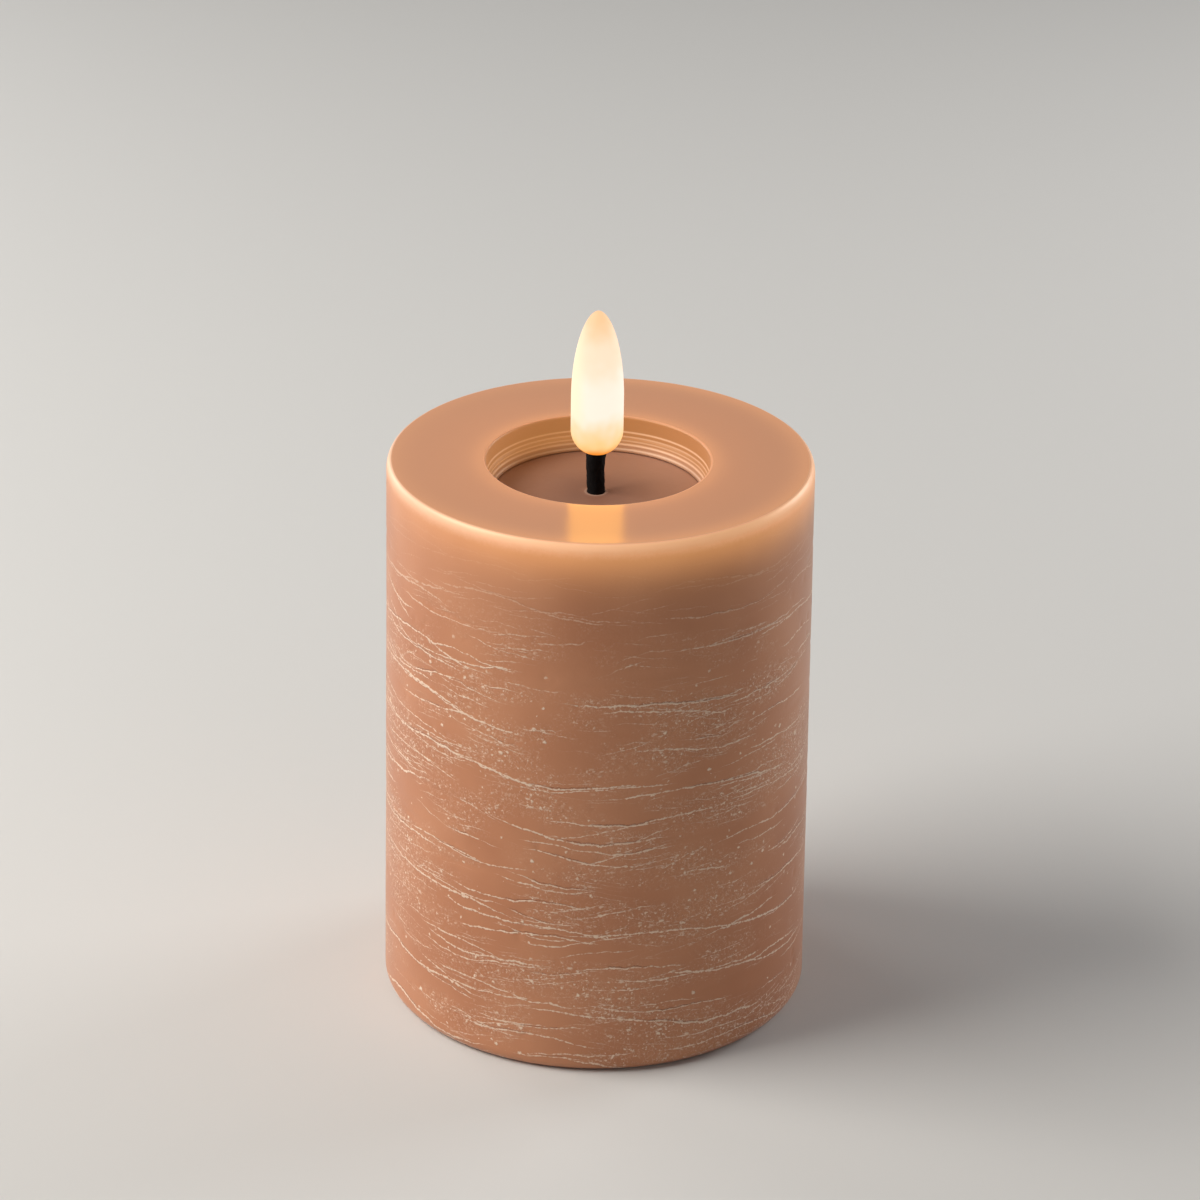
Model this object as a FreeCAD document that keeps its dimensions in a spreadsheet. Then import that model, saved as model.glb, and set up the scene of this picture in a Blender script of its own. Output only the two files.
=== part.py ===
import FreeCAD, Part
import Sketcher
import math
import os

# A pillar candle of real wax with an electric wick and flame, standing on z = 0.
# Lengths are millimetres. Z is up and the battery door opens along X.

SIZES = {
    # wax body
    "body_height": 101.0,
    "base_radius": 37.9,
    "top_radius": 37.15,
    "base_edge_radius": 2.3,
    "top_edge_radius": 1.2,
    "well_rim_radius": 19.3,
    "well_edge_radius": 0.8,
    "well_depth": 5.7,
    "well_floor_radius": 18.75,
    "pool_thickness": 3.5,
    "pool_gap": 0.1,
    "web_thickness": 5.0,
    "foot_width": 4.3,
    "wall_base_thickness": 7.9,
    "wall_top_thickness": 8.65,
    "cavity_corner_radius": 4.0,
    # wick with its two wires, its holder and the flame
    "wick_offset": -0.75,
    "wick_radius": 1.6,
    "wick_gap": 0.3,
    "wick_bore_radius": 1.05,
    "lamp_wire_gap": 0.1,
    "lamp_wire_space": 0.1,
    "wick_head_lip": 0.6,
    "wick_head_height": 1.2,
    "wick_foot_lift": 1.7,
    "holder_tube_radius": 3.0,
    "holder_gap": 0.2,
    "holder_drop": 4.0,
    "holder_lip_radius": 1.3,
    "holder_flange_radius": 6.0,
    "holder_flange_thickness": 1.5,
    "flange_gap": 0.3,
    "flame_radius": 4.56,
    "flame_wall": 1.0,
    "flame_lift": 1.15,
    "flame_straight": 6.0,
    "flame_nose": 15.9,
    "flame_seat_gap": 0.1,
    "led_board_radius": 1.9,
    "led_board_thickness": 0.6,
    "led_length": 2.4,
    "led_width": 1.4,
    "led_height": 0.8,
    "led_lens_radius": 0.5,
    # base housing in the wax's foot, and the battery bay in it
    "bay_end_room": 4.55,
    "bay_corner_room": 0.325,
    "housing_gap": 0.3,
    "housing_wall": 1.5,
    "housing_recess": 1.0,
    "skirt_rise": 2.2,
    "housing_edge_radius": 0.6,
    "floor_thickness": 2.0,
    "bay_wall": 1.4,
    "bay_gap": 0.3,
    "bay_roof_gap": 0.2,
    "ledge_width": 0.75,
    "cheek_length": 4.2,
    "cheek_width": 3.4,
    "cheek_height": 2.0,
    "door_corner_radius": 3.0,
    # battery door
    "door_thickness": 1.6,
    "door_recess": 0.2,
    "door_gap": 0.3,
    "door_swing_gap": 0.15,
    "barrel_radius": 1.2,
    "barrel_end_gap": 0.35,
    "hinge_pin_radius": 0.9,
    "hinge_pin_length": 2.8,
    "hinge_gap": 0.05,
    "hinge_end_gap": 0.3,
    "barrel_setback": 1.85,
    "catch_width": 5.0,
    "catch_thickness": 1.0,
    "catch_height": 3.6,
    "catch_root": 0.4,
    "catch_nub": 0.2,
    "catch_nub_height": 0.8,
    "catch_nub_drop": 0.4,
    "catch_gap": 0.15,
    "rib_height": 0.9,
    "rib_thickness": 1.0,
    "rib_spacing": 24.0,
    "spine_height": 2.2,
    "spine_overhang": 4.0,
    "notch_radius": 5.0,
    "notch_depth": 0.8,
    "notch_lip": 2.2,
    # cells, which fill the bay but for these
    "cell_space": 0.5,
    "cell_rest_gap": 0.3,
    "sleeve_thickness": 0.22,
    "sleeve_gap": 0.03,
    "sleeve_setback": 0.5,
    "nipple_radius": 2.7,
    "nipple_length": 1.0,
    "can_edge_radius": 0.6,
    # contacts
    "plate_thickness": 0.4,
    "plate_inset": 3.05,
    "dimple_radius": 2.2,
    "dimple_depth": 0.55,
    "contact_gap": 0.05,
    "spring_length": 3.1,
    "spring_wire_radius": 0.3,
    "spring_base_radius": 3.4,
    "spring_tip_radius": 2.2,
    "spring_seat_gap": 0.1,
    "spring_turns": 2.0,
    "tab_width": 2.6,
    "tab_rise": 1.2,
    "tab_gap": 0.3,
    # circuit board and what it carries
    "board_length": 26.0,
    "board_thickness": 1.0,
    "board_corner": 2.0,
    "board_gap": 1.25,
    "board_rim_gap": 1.35,
    "boss_radius": 2.4,
    "boss_setback": 2.5,
    "boss_edge": 2.4,
    "screw_radius": 0.95,
    "screw_thread_gap": 0.05,
    "screw_clearance": 0.15,
    "screw_head_radius": 1.9,
    "screw_head_height": 1.3,
    "screw_length": 5.0,
    "screw_slot_width": 0.5,
    "screw_slot_length": 2.4,
    "screw_slot_depth": 0.7,
    "chip_length": 4.9,
    "chip_width": 3.9,
    "chip_height": 1.4,
    "chip_seat": 0.1,
    "leg_width": 0.4,
    "leg_reach": 1.0,
    "leg_thickness": 0.2,
    "leg_pitch": 1.27,
    "leg_height": 0.75,
    "crystal_radius": 1.0,
    "crystal_length": 6.0,
    "crystal_lead": 1.0,
    "crystal_edge": 0.5,
    "crystal_setback": 3.8,
    "lead_width": 0.3,
    "resistor_length": 2.0,
    "resistor_width": 1.25,
    "resistor_height": 0.5,
    "resistor_pitch": 2.2,
    "capacitor_radius": 2.0,
    "capacitor_height": 5.4,
    "capacitor_base": 4.3,
    "capacitor_base_height": 0.6,
    # switch
    "switch_lift": 0.6,
    "switch_length": 10.0,
    "switch_width": 4.4,
    "switch_height": 4.6,
    "switch_wall": 0.3,
    "switch_base_height": 2.5,
    "switch_base_gap": 0.1,
    "switch_travel": 4.0,
    "carriage_gap": 0.1,
    "carriage_end_gap": 0.3,
    "carriage_side_gap": 0.15,
    "carriage_top_gap": 0.2,
    "knob_length": 3.8,
    "knob_width": 2.6,
    "knob_recess": 0.3,
    "knob_gap": 0.3,
    "knob_groove_width": 0.4,
    "knob_groove_depth": 0.35,
    "knob_groove_pitch": 0.9,
    "finger_recess_length": 15.0,
    "finger_recess_width": 8.0,
    "finger_recess_depth": 0.9,
    # wires: where they leave the board and turn, and the battery wires' thickness
    "lamp_wire_inset": 1.2,
    "lamp_wire_edge": 1.0,
    "lamp_wire_rise": 5.0,
    "lamp_wire_drop": 11.8,
    "lamp_wire_spread": 2.2,
    "battery_wire_radius": 0.6,
    "battery_wire_edge": 1.0,
    "battery_wire_rise": 5.8,
    "solder_gap": 0.15,
    # one overrun for cutters
    "overrun": 1.0,
}

LEG_PAIRS = 4
GROOVES = 4
RESISTORS = 3
SPRING_STEPS_PER_TURN = 4

# Least part of a body that a pocket must take away, and how far a wire's volume may be off.
LEAST_CUT_share = 1e-7
WIRE_VOLUME_share = 0.01
# Part of a wire's shorter run that a bend may use at each of its ends.
BEND_share = 0.45

# The wick leans and swells a little along its free length: share of the length from the
# foot, sideways and front shares of the wick's radius, and the radius as a share.
WICK_FORM_share = (
    (0.00, 0.00, 0.00, 1.00),
    (0.45, 0.00, 0.00, 1.00),
    (0.55, -0.10, -0.02, 0.95),
    (0.65, -0.14, 0.05, 0.93),
    (0.75, -0.08, 0.06, 0.97),
    (0.85, 0.03, 0.02, 1.03),
    (0.93, 0.03, 0.00, 1.02),
    (1.00, 0.00, 0.00, 1.00),
)

# Where the lamp wires hang in the hollow, as shares of the way from the board to the wick.
LAMP_WIRE_MIDDLE_share = (0.56, 0.45, 0.52)

# Free points of the battery wires, chosen by hand: the spot on the board along X, then
# points from the tab and points from that spot, each with its height over the bay's roof.
RED_WIRE_SPOT = 12.2
RED_WIRE_LEAVING = ((-3.2, 6.1, 1.8),)
RED_WIRE_ARRIVING = ((3.8, 0.2, 0.4),)
BLACK_WIRE_SPOT = 9.2
BLACK_WIRE_LEAVING = ((-4.7, 3.7, 1.4),)
BLACK_WIRE_ARRIVING = ((5.8, -12.0, 1.8), (0.8, -0.8, 1.4))

doc = FreeCAD.newDocument("led_candle")


class Size:
    """A length with its value and the expression that ties it to the sheet."""

    def __init__(self, amount, text):
        self.amount = amount
        self.text = text

    def __add__(self, other):
        other = as_size(other)
        return Size(self.amount + other.amount, "(%s + %s)" % (self.text, other.text))

    def __sub__(self, other):
        other = as_size(other)
        return Size(self.amount - other.amount, "(%s - %s)" % (self.text, other.text))

    def __mul__(self, other):
        other = as_size(other)
        return Size(self.amount * other.amount, "(%s * %s)" % (self.text, other.text))

    def __truediv__(self, other):
        other = as_size(other)
        return Size(self.amount / other.amount, "(%s / %s)" % (self.text, other.text))

    def __neg__(self):
        return Size(-self.amount, "(0 - %s)" % self.text)


def as_size(value):
    if isinstance(value, Size):
        return value
    return Size(float(value), "(%.9g)" % value)


def longest_side(side, other):
    """Longest side of a right triangle, from its other two."""
    square = side * side + other * other
    return Size(math.sqrt(square.amount), "sqrt(%s)" % square.text)


def other_side(longest, side):
    """Third side of a right triangle, from its longest side and one other."""
    square = longest * longest - side * side
    return Size(math.sqrt(square.amount), "sqrt(%s)" % square.text)


class Sizes:
    """Every name of the table as a Size that reads its cell."""

    def __init__(self, table):
        self.sheet = doc.addObject("Spreadsheet::Sheet", "sizes")
        for row, (name, amount) in enumerate(table.items(), start=1):
            self.sheet.set("A%d" % row, name)
            self.sheet.set("B%d" % row, str(amount))
            self.sheet.setAlias("B%d" % row, name)
            setattr(self, name, Size(float(amount), "sizes.%s" % name))


s = Sizes(SIZES)
doc.recompute()
ZERO = as_size(0)


def bind(item, path, value):
    item.setExpression(path, as_size(value).text)


def move(item, x=ZERO, y=ZERO, z=ZERO):
    """Ties an object's place to the sheet."""
    for axis, value in zip("xyz", (x, y, z)):
        value = as_size(value)
        if value.text != ZERO.text:
            bind(item, "Placement.Base.%s" % axis, value)


def new_body(label):
    body = doc.addObject("PartDesign::Body", label)
    body.Label = label
    return body


def new_sketch(body, name, role, lift=ZERO):
    """Empty sketch on one of the body's origin planes, raised along its normal."""
    sketch = body.newObject("Sketcher::SketchObject", name)
    plane = next(item for item in body.Origin.OriginFeatures if item.Role == role)
    sketch.AttachmentSupport = [(plane, "")]
    sketch.MapMode = "FlatFace"
    bind(sketch, "AttachmentOffset.Base.z", lift)
    return sketch


def pin_point(sketch, curve, end, across, up):
    """Places one end of a sketch curve by its two distances from the origin."""
    for kind, value, axis in (("DistanceX", across, -2), ("DistanceY", up, -1)):
        value = as_size(value)
        if value.text == ZERO.text:
            sketch.addConstraint(Sketcher.Constraint("PointOnObject", curve, end, axis))
            continue
        place = sketch.addConstraint(Sketcher.Constraint(kind, -1, 1, curve, end, value.amount))
        bind(sketch, "Constraints[%d]" % place, value)


def draw_outline(sketch, corners):
    """Closed outline through corners (across, up), or (across, up, radius, turn) where the
    stretch to the next corner is an arc that turns left (1) or right (-1)."""
    count = len(corners)
    first = sketch.GeometryCount
    ends = []
    for number, corner in enumerate(corners):
        across, up = as_size(corner[0]).amount, as_size(corner[1]).amount
        after = corners[(number + 1) % count]
        to_across, to_up = as_size(after[0]).amount, as_size(after[1]).amount
        start = FreeCAD.Vector(across, up, 0)
        stop = FreeCAD.Vector(to_across, to_up, 0)
        if len(corner) == 2:
            sketch.addGeometry(Part.LineSegment(start, stop), False)
            ends.append((1, 2))
            continue
        radius, turn = as_size(corner[2]).amount, corner[3]
        chord = stop - start
        reach = math.sqrt(max(radius ** 2 - (chord.Length / 2) ** 2, 0))
        normal = FreeCAD.Vector(-chord.y, chord.x, 0).normalize()
        centre = (start + stop) * 0.5 + normal * (reach * turn)
        low, high = (start, stop) if turn > 0 else (stop, start)
        angles = [math.atan2(point.y - centre.y, point.x - centre.x) for point in (low, high)]
        circle = Part.Circle(centre, FreeCAD.Vector(0, 0, 1), radius)
        sketch.addGeometry(Part.ArcOfCircle(circle, angles[0], angles[1]), False)
        ends.append((1, 2) if turn > 0 else (2, 1))
    for number in range(count):
        following = (number + 1) % count
        sketch.addConstraint(Sketcher.Constraint(
            "Coincident", first + number, ends[number][1], first + following, ends[following][0]))
    for number, corner in enumerate(corners):
        pin_point(sketch, first + number, ends[number][0], corner[0], corner[1])
        if len(corner) > 2:
            place = sketch.addConstraint(
                Sketcher.Constraint("Radius", first + number, as_size(corner[2]).amount))
            bind(sketch, "Constraints[%d]" % place, corner[2])


def draw_rectangle(sketch, x_low, x_high, y_low, y_high):
    draw_outline(sketch, [(x_low, y_low), (x_high, y_low), (x_high, y_high), (x_low, y_high)])


def draw_circle(sketch, across, up, radius):
    across, up, radius = as_size(across), as_size(up), as_size(radius)
    centre = FreeCAD.Vector(across.amount, up.amount, 0)
    curve = sketch.addGeometry(
        Part.Circle(centre, FreeCAD.Vector(0, 0, 1), radius.amount), False)
    pin_point(sketch, curve, 3, across, up)
    place = sketch.addConstraint(Sketcher.Constraint("Radius", curve, radius.amount))
    bind(sketch, "Constraints[%d]" % place, radius)


def pad(body, sketch, length, both_ways=False):
    feature = body.newObject("PartDesign::Pad", sketch.Name + "_pad")
    feature.Profile = sketch
    bind(feature, "Length", length)
    if both_ways:
        feature.SideType = "Symmetric"
    return feature


def pocket(body, sketch, length, both_ways=False):
    """Cuts along the sketch's own normal, and makes sure that it took something away."""
    doc.recompute()
    before = body.Shape.Volume
    feature = body.newObject("PartDesign::Pocket", sketch.Name + "_cut")
    feature.Profile = sketch
    feature.Reversed = True
    bind(feature, "Length", length)
    if both_ways:
        feature.SideType = "Symmetric"
    doc.recompute()
    if body.Shape.Volume > before * (1 - LEAST_CUT_share):
        raise RuntimeError("%s cuts nothing" % feature.Name)
    return feature


def revolve(body, sketch, axis="V_Axis"):
    feature = body.newObject("PartDesign::Revolution", sketch.Name + "_turn")
    feature.Profile = sketch
    feature.ReferenceAxis = (sketch, [axis])
    return feature


def box(name, low, high):
    """A box between two corners, each given as three lengths."""
    item = doc.addObject("Part::Box", name)
    for side, lowest, highest in zip(("Length", "Width", "Height"), low, high):
        bind(item, side, as_size(highest) - lowest)
    move(item, *low)
    return item


def cylinder(name, radius, height, x=ZERO, y=ZERO, z=ZERO):
    item = doc.addObject("Part::Cylinder", name)
    bind(item, "Radius", radius)
    bind(item, "Height", height)
    move(item, x, y, z)
    return item


def join(name, items):
    fused = doc.addObject("Part::MultiFuse", name)
    fused.Shapes = items
    return fused


def cut(name, base, tool):
    item = doc.addObject("Part::Cut", name)
    item.Base = base
    item.Tool = tool
    return item


def group(name, items):
    """Identical pieces that share one node, as separate solids."""
    item = doc.addObject("Part::Compound", name)
    item.Links = items
    return item


def solid_feature(name, shape):
    item = doc.addObject("Part::Feature", name)
    item.Shape = shape
    return item


# The wax round the housing, the housing round the battery bay and the cells in the bay.
bore_radius = s.base_radius - s.foot_width
cavity_base_radius = s.base_radius - s.wall_base_thickness
cavity_top_radius = s.top_radius - s.wall_top_thickness
housing_radius = bore_radius - s.housing_gap
skirt_inner_radius = housing_radius - s.housing_wall
bay_outer_length = housing_radius - s.bay_end_room
bay_outer_width = other_side(housing_radius - s.bay_corner_room, bay_outer_length)
bay_half_length = bay_outer_length - s.bay_wall
bay_half_width = bay_outer_width - s.bay_wall
cell_radius = (bay_half_width - s.bay_gap - s.cell_space / 2) / 2
cell_pitch = cell_radius * 2 + s.cell_space
cell_y = cell_pitch / 2
cell_length = (bay_half_length - s.plate_thickness) * 2 - (
    s.contact_gap + s.dimple_depth + s.spring_length)
cell_shift = (s.spring_length - s.dimple_depth - s.contact_gap) / 2
plate_half = cell_radius - s.plate_inset

# Heights that several pieces share, from the bottom up.
floor_under = s.housing_recess
floor_top = floor_under + s.floor_thickness
door_under = floor_under + s.door_recess
door_top = door_under + s.door_thickness
cell_height = door_top + s.rib_height + s.cell_rest_gap + cell_radius
bay_top = cell_height + cell_radius + s.bay_roof_gap
roof_top = bay_top + s.bay_wall
housing_top = roof_top + s.skirt_rise
switch_bottom = floor_top + s.switch_lift
board_under = switch_bottom + s.switch_height
board_top = board_under + s.board_thickness
pool_top = s.body_height - s.well_depth
web_top = pool_top - s.pool_thickness
web_under = web_top - s.web_thickness
holder_under = web_under - s.holder_drop
wick_foot = holder_under + s.wick_foot_lift

# The battery door, the board and the switch below it.
hinge_x = s.barrel_setback - bay_half_length
hinge_z = door_under + s.barrel_radius
step_x = hinge_x + s.cheek_length / 2
opening_x = bay_half_length + s.ledge_width
opening_width = bay_half_width + s.ledge_width
cheek_outer = bay_half_width + s.cheek_width
board_half = s.board_length / 2
board_near = bay_outer_width + s.board_gap
board_far = other_side(skirt_inner_radius - s.board_rim_gap, board_half - s.board_corner)
board_middle = (board_near + board_far) / 2
boss_x = board_half - s.boss_setback
boss_y = board_far - s.boss_edge
switch_y = board_middle
knob_x = s.switch_travel / -2
carriage_low = switch_bottom + s.switch_wall + s.carriage_gap
carriage_top = board_under - s.switch_base_height - s.carriage_top_gap

# The wires in the wick's bore, and the flame on the wick's head.
lamp_wire_radius = (s.wick_bore_radius - s.lamp_wire_gap - s.lamp_wire_space / 2) / 2
lamp_wire_pitch = lamp_wire_radius * 2 + s.lamp_wire_space
wick_hole_radius = s.wick_radius + s.wick_gap
wick_head_radius = s.wick_radius + s.wick_head_lip
flame_inner_radius = s.flame_radius - s.flame_wall
flame_low = s.body_height + s.flame_lift
flame_dome = flame_low + other_side(s.flame_radius, wick_hole_radius)
head_seat = flame_dome - other_side(flame_inner_radius, wick_head_radius + s.flame_seat_gap)
head_top = head_seat + s.wick_head_height
led_board_top = head_top + s.led_board_thickness


def make_wax_shell():
    """Poured wax pillar: outer wall, well for the flame, web across it, hollow below."""
    body = new_body("wax_shell")
    sketch = new_sketch(body, "wax_profile", "XZ_Plane")
    draw_outline(sketch, [
        (bore_radius, ZERO),
        (s.base_radius - s.base_edge_radius, ZERO, s.base_edge_radius, 1),
        (s.base_radius, s.base_edge_radius),
        (s.top_radius, s.body_height - s.top_edge_radius, s.top_edge_radius, 1),
        (s.top_radius - s.top_edge_radius, s.body_height),
        (s.well_rim_radius + s.well_edge_radius, s.body_height, s.well_edge_radius, 1),
        (s.well_rim_radius, s.body_height - s.well_edge_radius),
        (s.well_floor_radius, pool_top),
        (s.well_floor_radius, web_top),
        (ZERO, web_top),
        (ZERO, web_under),
        (cavity_top_radius - s.cavity_corner_radius, web_under, s.cavity_corner_radius, -1),
        (cavity_top_radius, web_under - s.cavity_corner_radius),
        (cavity_base_radius, housing_top),
        (bore_radius, housing_top),
    ])
    revolve(body, sketch)
    hole = new_sketch(body, "holder_hole", "XY_Plane", web_under - s.overrun)
    draw_circle(hole, s.wick_offset, ZERO, s.holder_tube_radius + s.holder_gap)
    pocket(body, hole, s.web_thickness + s.overrun * 2)
    return body


def make_wax_pool():
    """Smooth wax floor of the well, poured round the wick over the holder's flange."""
    body = new_body("wax_pool")
    disc = new_sketch(body, "pool_disc", "XY_Plane", web_top)
    draw_circle(disc, ZERO, ZERO, s.well_floor_radius - s.pool_gap)
    pad(body, disc, s.pool_thickness)
    seat = new_sketch(body, "flange_seat", "XY_Plane", web_top)
    draw_circle(seat, s.wick_offset, ZERO, s.holder_flange_radius + s.flange_gap)
    pocket(body, seat, s.holder_flange_thickness + s.flange_gap)
    hole = new_sketch(body, "pool_wick_hole", "XY_Plane", web_top)
    draw_circle(hole, s.wick_offset, ZERO, wick_hole_radius)
    pocket(body, hole, s.pool_thickness + s.overrun)
    return body


def make_flame_holder():
    """Moulded tube with a flange, which carries the wick through the wax web."""
    body = new_body("flame_holder")
    sketch = new_sketch(body, "holder_profile", "XZ_Plane")
    wick_room = s.wick_radius + s.wick_gap / 2
    draw_outline(sketch, [
        (s.holder_lip_radius, holder_under),
        (s.holder_tube_radius, holder_under),
        (s.holder_tube_radius, web_top),
        (s.holder_flange_radius, web_top),
        (s.holder_flange_radius, web_top + s.holder_flange_thickness),
        (wick_room, web_top + s.holder_flange_thickness),
        (wick_room, wick_foot),
        (s.holder_lip_radius, wick_foot),
    ])
    revolve(body, sketch)
    move(body, s.wick_offset)
    return body


def make_wick():
    """Black hollow wick, a little crooked, with a round head that the flame sits on."""
    body = new_body("wick")
    length = head_seat - wick_foot
    sections = []
    for number, (along, side, front, wide) in enumerate(WICK_FORM_share):
        section = new_sketch(body, "wick_section_%d" % number, "XY_Plane",
                             wick_foot + length * along)
        draw_circle(section, s.wick_radius * side, s.wick_radius * front, s.wick_radius * wide)
        sections.append(section)
    loft = body.newObject("PartDesign::AdditiveLoft", "wick_loft")
    loft.Profile = sections[0]
    loft.Sections = sections[1:]
    loft.Ruled = True
    doc.recompute()
    head = new_sketch(body, "wick_head", "XY_Plane", head_seat)
    draw_circle(head, ZERO, ZERO, wick_head_radius)
    pad(body, head, s.wick_head_height)
    bore = new_sketch(body, "wick_bore", "XY_Plane", wick_foot)
    draw_circle(bore, ZERO, ZERO, s.wick_bore_radius)
    pocket(body, bore, length + s.wick_head_height + s.overrun)
    move(body, s.wick_offset)
    return body


def flame_form(radius, tip_height):
    """Solid of a flame: round below, straight, then half an ellipse up to its tip."""
    opening = wick_hole_radius.amount
    dome = flame_dome.amount
    shoulder_height = dome + s.flame_straight.amount
    nose = tip_height - shoulder_height
    low_angle = math.acos(opening / radius)
    low = FreeCAD.Vector(opening, 0, dome - radius * math.sin(low_angle))
    side = FreeCAD.Vector(radius, 0, dome)
    middle = FreeCAD.Vector(radius * math.cos(low_angle / 2), 0,
                            dome - radius * math.sin(low_angle / 2))
    shoulder = FreeCAD.Vector(radius, 0, shoulder_height)
    tip = FreeCAD.Vector(0, 0, tip_height)
    centre = FreeCAD.Vector(0, 0, shoulder_height)
    ellipse = Part.Ellipse(tip, shoulder, centre)
    quarter = Part.ArcOfEllipse(ellipse, ellipse.parameter(tip), ellipse.parameter(shoulder))
    if quarter.length() > 2 * nose:
        quarter = Part.ArcOfEllipse(ellipse, ellipse.parameter(shoulder), ellipse.parameter(tip))
    axis_foot = FreeCAD.Vector(0, 0, low.z)
    edges = [
        Part.LineSegment(axis_foot, low).toShape(),
        Part.Arc(low, middle, side).toShape(),
        Part.LineSegment(side, shoulder).toShape(),
        quarter.toShape(),
        Part.LineSegment(tip, axis_foot).toShape(),
    ]
    face = Part.Face(Part.Wire(Part.__sortEdges__(edges)))
    return face.revolve(FreeCAD.Vector(0, 0, 0), FreeCAD.Vector(0, 0, 1), 360)


def make_flame_shell():
    """Hollow translucent flame, open below where the wick's head goes in."""
    radius = s.flame_radius.amount
    tip_height = (flame_dome + s.flame_straight + s.flame_nose).amount
    outer = flame_form(radius, tip_height)
    inner = flame_form(flame_inner_radius.amount, tip_height - s.flame_wall.amount)
    throat = Part.makeCylinder(wick_hole_radius.amount, radius,
                               FreeCAD.Vector(0, 0, flame_dome.amount - radius))
    item = solid_feature("flame_shell", outer.cut(inner.fuse(throat)))
    move(item, s.wick_offset)
    return item


def make_led_board():
    """Round board on the wick's head."""
    return cylinder("led_board", s.led_board_radius, s.led_board_thickness,
                    s.wick_offset, ZERO, head_top)


def make_led_chip():
    """Surface LED: a flat package with a small round lens."""
    low = (s.wick_offset - s.led_length / 2, s.led_width / -2, led_board_top)
    high = (s.wick_offset + s.led_length / 2, s.led_width / 2, led_board_top + s.led_height)
    lens = doc.addObject("Part::Sphere", "led_lens")
    bind(lens, "Radius", s.led_lens_radius)
    move(lens, s.wick_offset, ZERO, led_board_top + s.led_height)
    return join("led_chip", [box("led_package", low, high), lens])


def make_base_housing():
    """Moulded cup in the wax's foot: floor, skirt, roofed battery bay, bosses and slots."""
    body = new_body("base_housing")
    cup = new_sketch(body, "housing_cup", "XZ_Plane")
    draw_outline(cup, [
        (ZERO, floor_under),
        (housing_radius - s.housing_edge_radius, floor_under, s.housing_edge_radius, 1),
        (housing_radius, floor_under + s.housing_edge_radius),
        (housing_radius, housing_top),
        (skirt_inner_radius, housing_top),
        (skirt_inner_radius, floor_top),
        (ZERO, floor_top),
    ])
    revolve(body, cup)
    bay = new_sketch(body, "bay_block", "XY_Plane", floor_under)
    draw_rectangle(bay, -bay_outer_length, bay_outer_length, -bay_outer_width, bay_outer_width)
    pad(body, bay, roof_top - floor_under)
    cheeks = new_sketch(body, "hinge_cheeks", "XY_Plane", floor_under)
    cheek_half = s.cheek_length / 2
    draw_rectangle(cheeks, hinge_x - cheek_half, hinge_x + cheek_half, -cheek_outer, cheek_outer)
    pad(body, cheeks, s.floor_thickness + s.cheek_height)
    room = new_sketch(body, "bay_room", "XY_Plane", floor_under)
    draw_rectangle(room, -bay_half_length, bay_half_length, -bay_half_width, bay_half_width)
    pocket(body, room, bay_top - floor_under)
    recess = new_sketch(body, "door_recess", "XY_Plane", floor_under)
    corner = s.door_corner_radius
    draw_outline(recess, [
        (step_x, -opening_width),
        (opening_x - corner, -opening_width, corner, 1),
        (opening_x, corner - opening_width),
        (opening_x, opening_width - corner, corner, 1),
        (opening_x - corner, opening_width),
        (step_x, opening_width),
    ])
    pocket(body, recess, s.floor_thickness)
    scoop = new_sketch(body, "finger_scoop", "XY_Plane", floor_under)
    draw_circle(scoop, opening_x - s.notch_lip, ZERO, s.notch_radius)
    pocket(body, scoop, s.notch_depth + s.door_recess)
    holes = new_sketch(body, "hinge_holes", "XZ_Plane")
    draw_circle(holes, hinge_x, hinge_z, s.hinge_pin_radius + s.hinge_gap)
    hole_reach = bay_half_width - s.barrel_end_gap + s.hinge_pin_length + s.hinge_end_gap
    pocket(body, holes, hole_reach * 2, both_ways=True)
    bosses = new_sketch(body, "board_bosses", "XY_Plane", floor_under)
    for side in (-1, 1):
        draw_circle(bosses, boss_x * side, boss_y, s.boss_radius)
    pad(body, bosses, board_under - floor_under)
    pilots = new_sketch(body, "screw_pilots", "XY_Plane", floor_top)
    for side in (-1, 1):
        draw_circle(pilots, boss_x * side, boss_y, s.screw_radius + s.screw_thread_gap)
    pocket(body, pilots, board_under - floor_top + s.overrun)
    finger = new_sketch(body, "switch_recess", "XY_Plane", floor_under)
    draw_rectangle(finger, s.finger_recess_length / -2, s.finger_recess_length / 2,
                   switch_y - s.finger_recess_width / 2, switch_y + s.finger_recess_width / 2)
    pocket(body, finger, s.finger_recess_depth)
    slot = new_sketch(body, "switch_slot", "XY_Plane", floor_under)
    half_slot = (s.knob_length + s.switch_travel) / 2 + s.knob_gap
    half_slot_width = s.knob_width / 2 + s.knob_gap
    draw_rectangle(slot, -half_slot, half_slot, switch_y - half_slot_width,
                   switch_y + half_slot_width)
    pocket(body, slot, s.floor_thickness + s.overrun)
    tabs = new_sketch(body, "tab_slots", "XY_Plane", bay_top - s.overrun)
    tab_in = bay_half_length - s.plate_thickness - s.tab_gap
    half_tab = s.tab_width / 2 + s.tab_gap
    for side in (-1, 1):
        middle = cell_pitch * side / 2
        draw_rectangle(tabs, tab_in, bay_half_length, middle - half_tab, middle + half_tab)
    pocket(body, tabs, s.bay_wall + s.overrun * 2)
    return body


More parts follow.
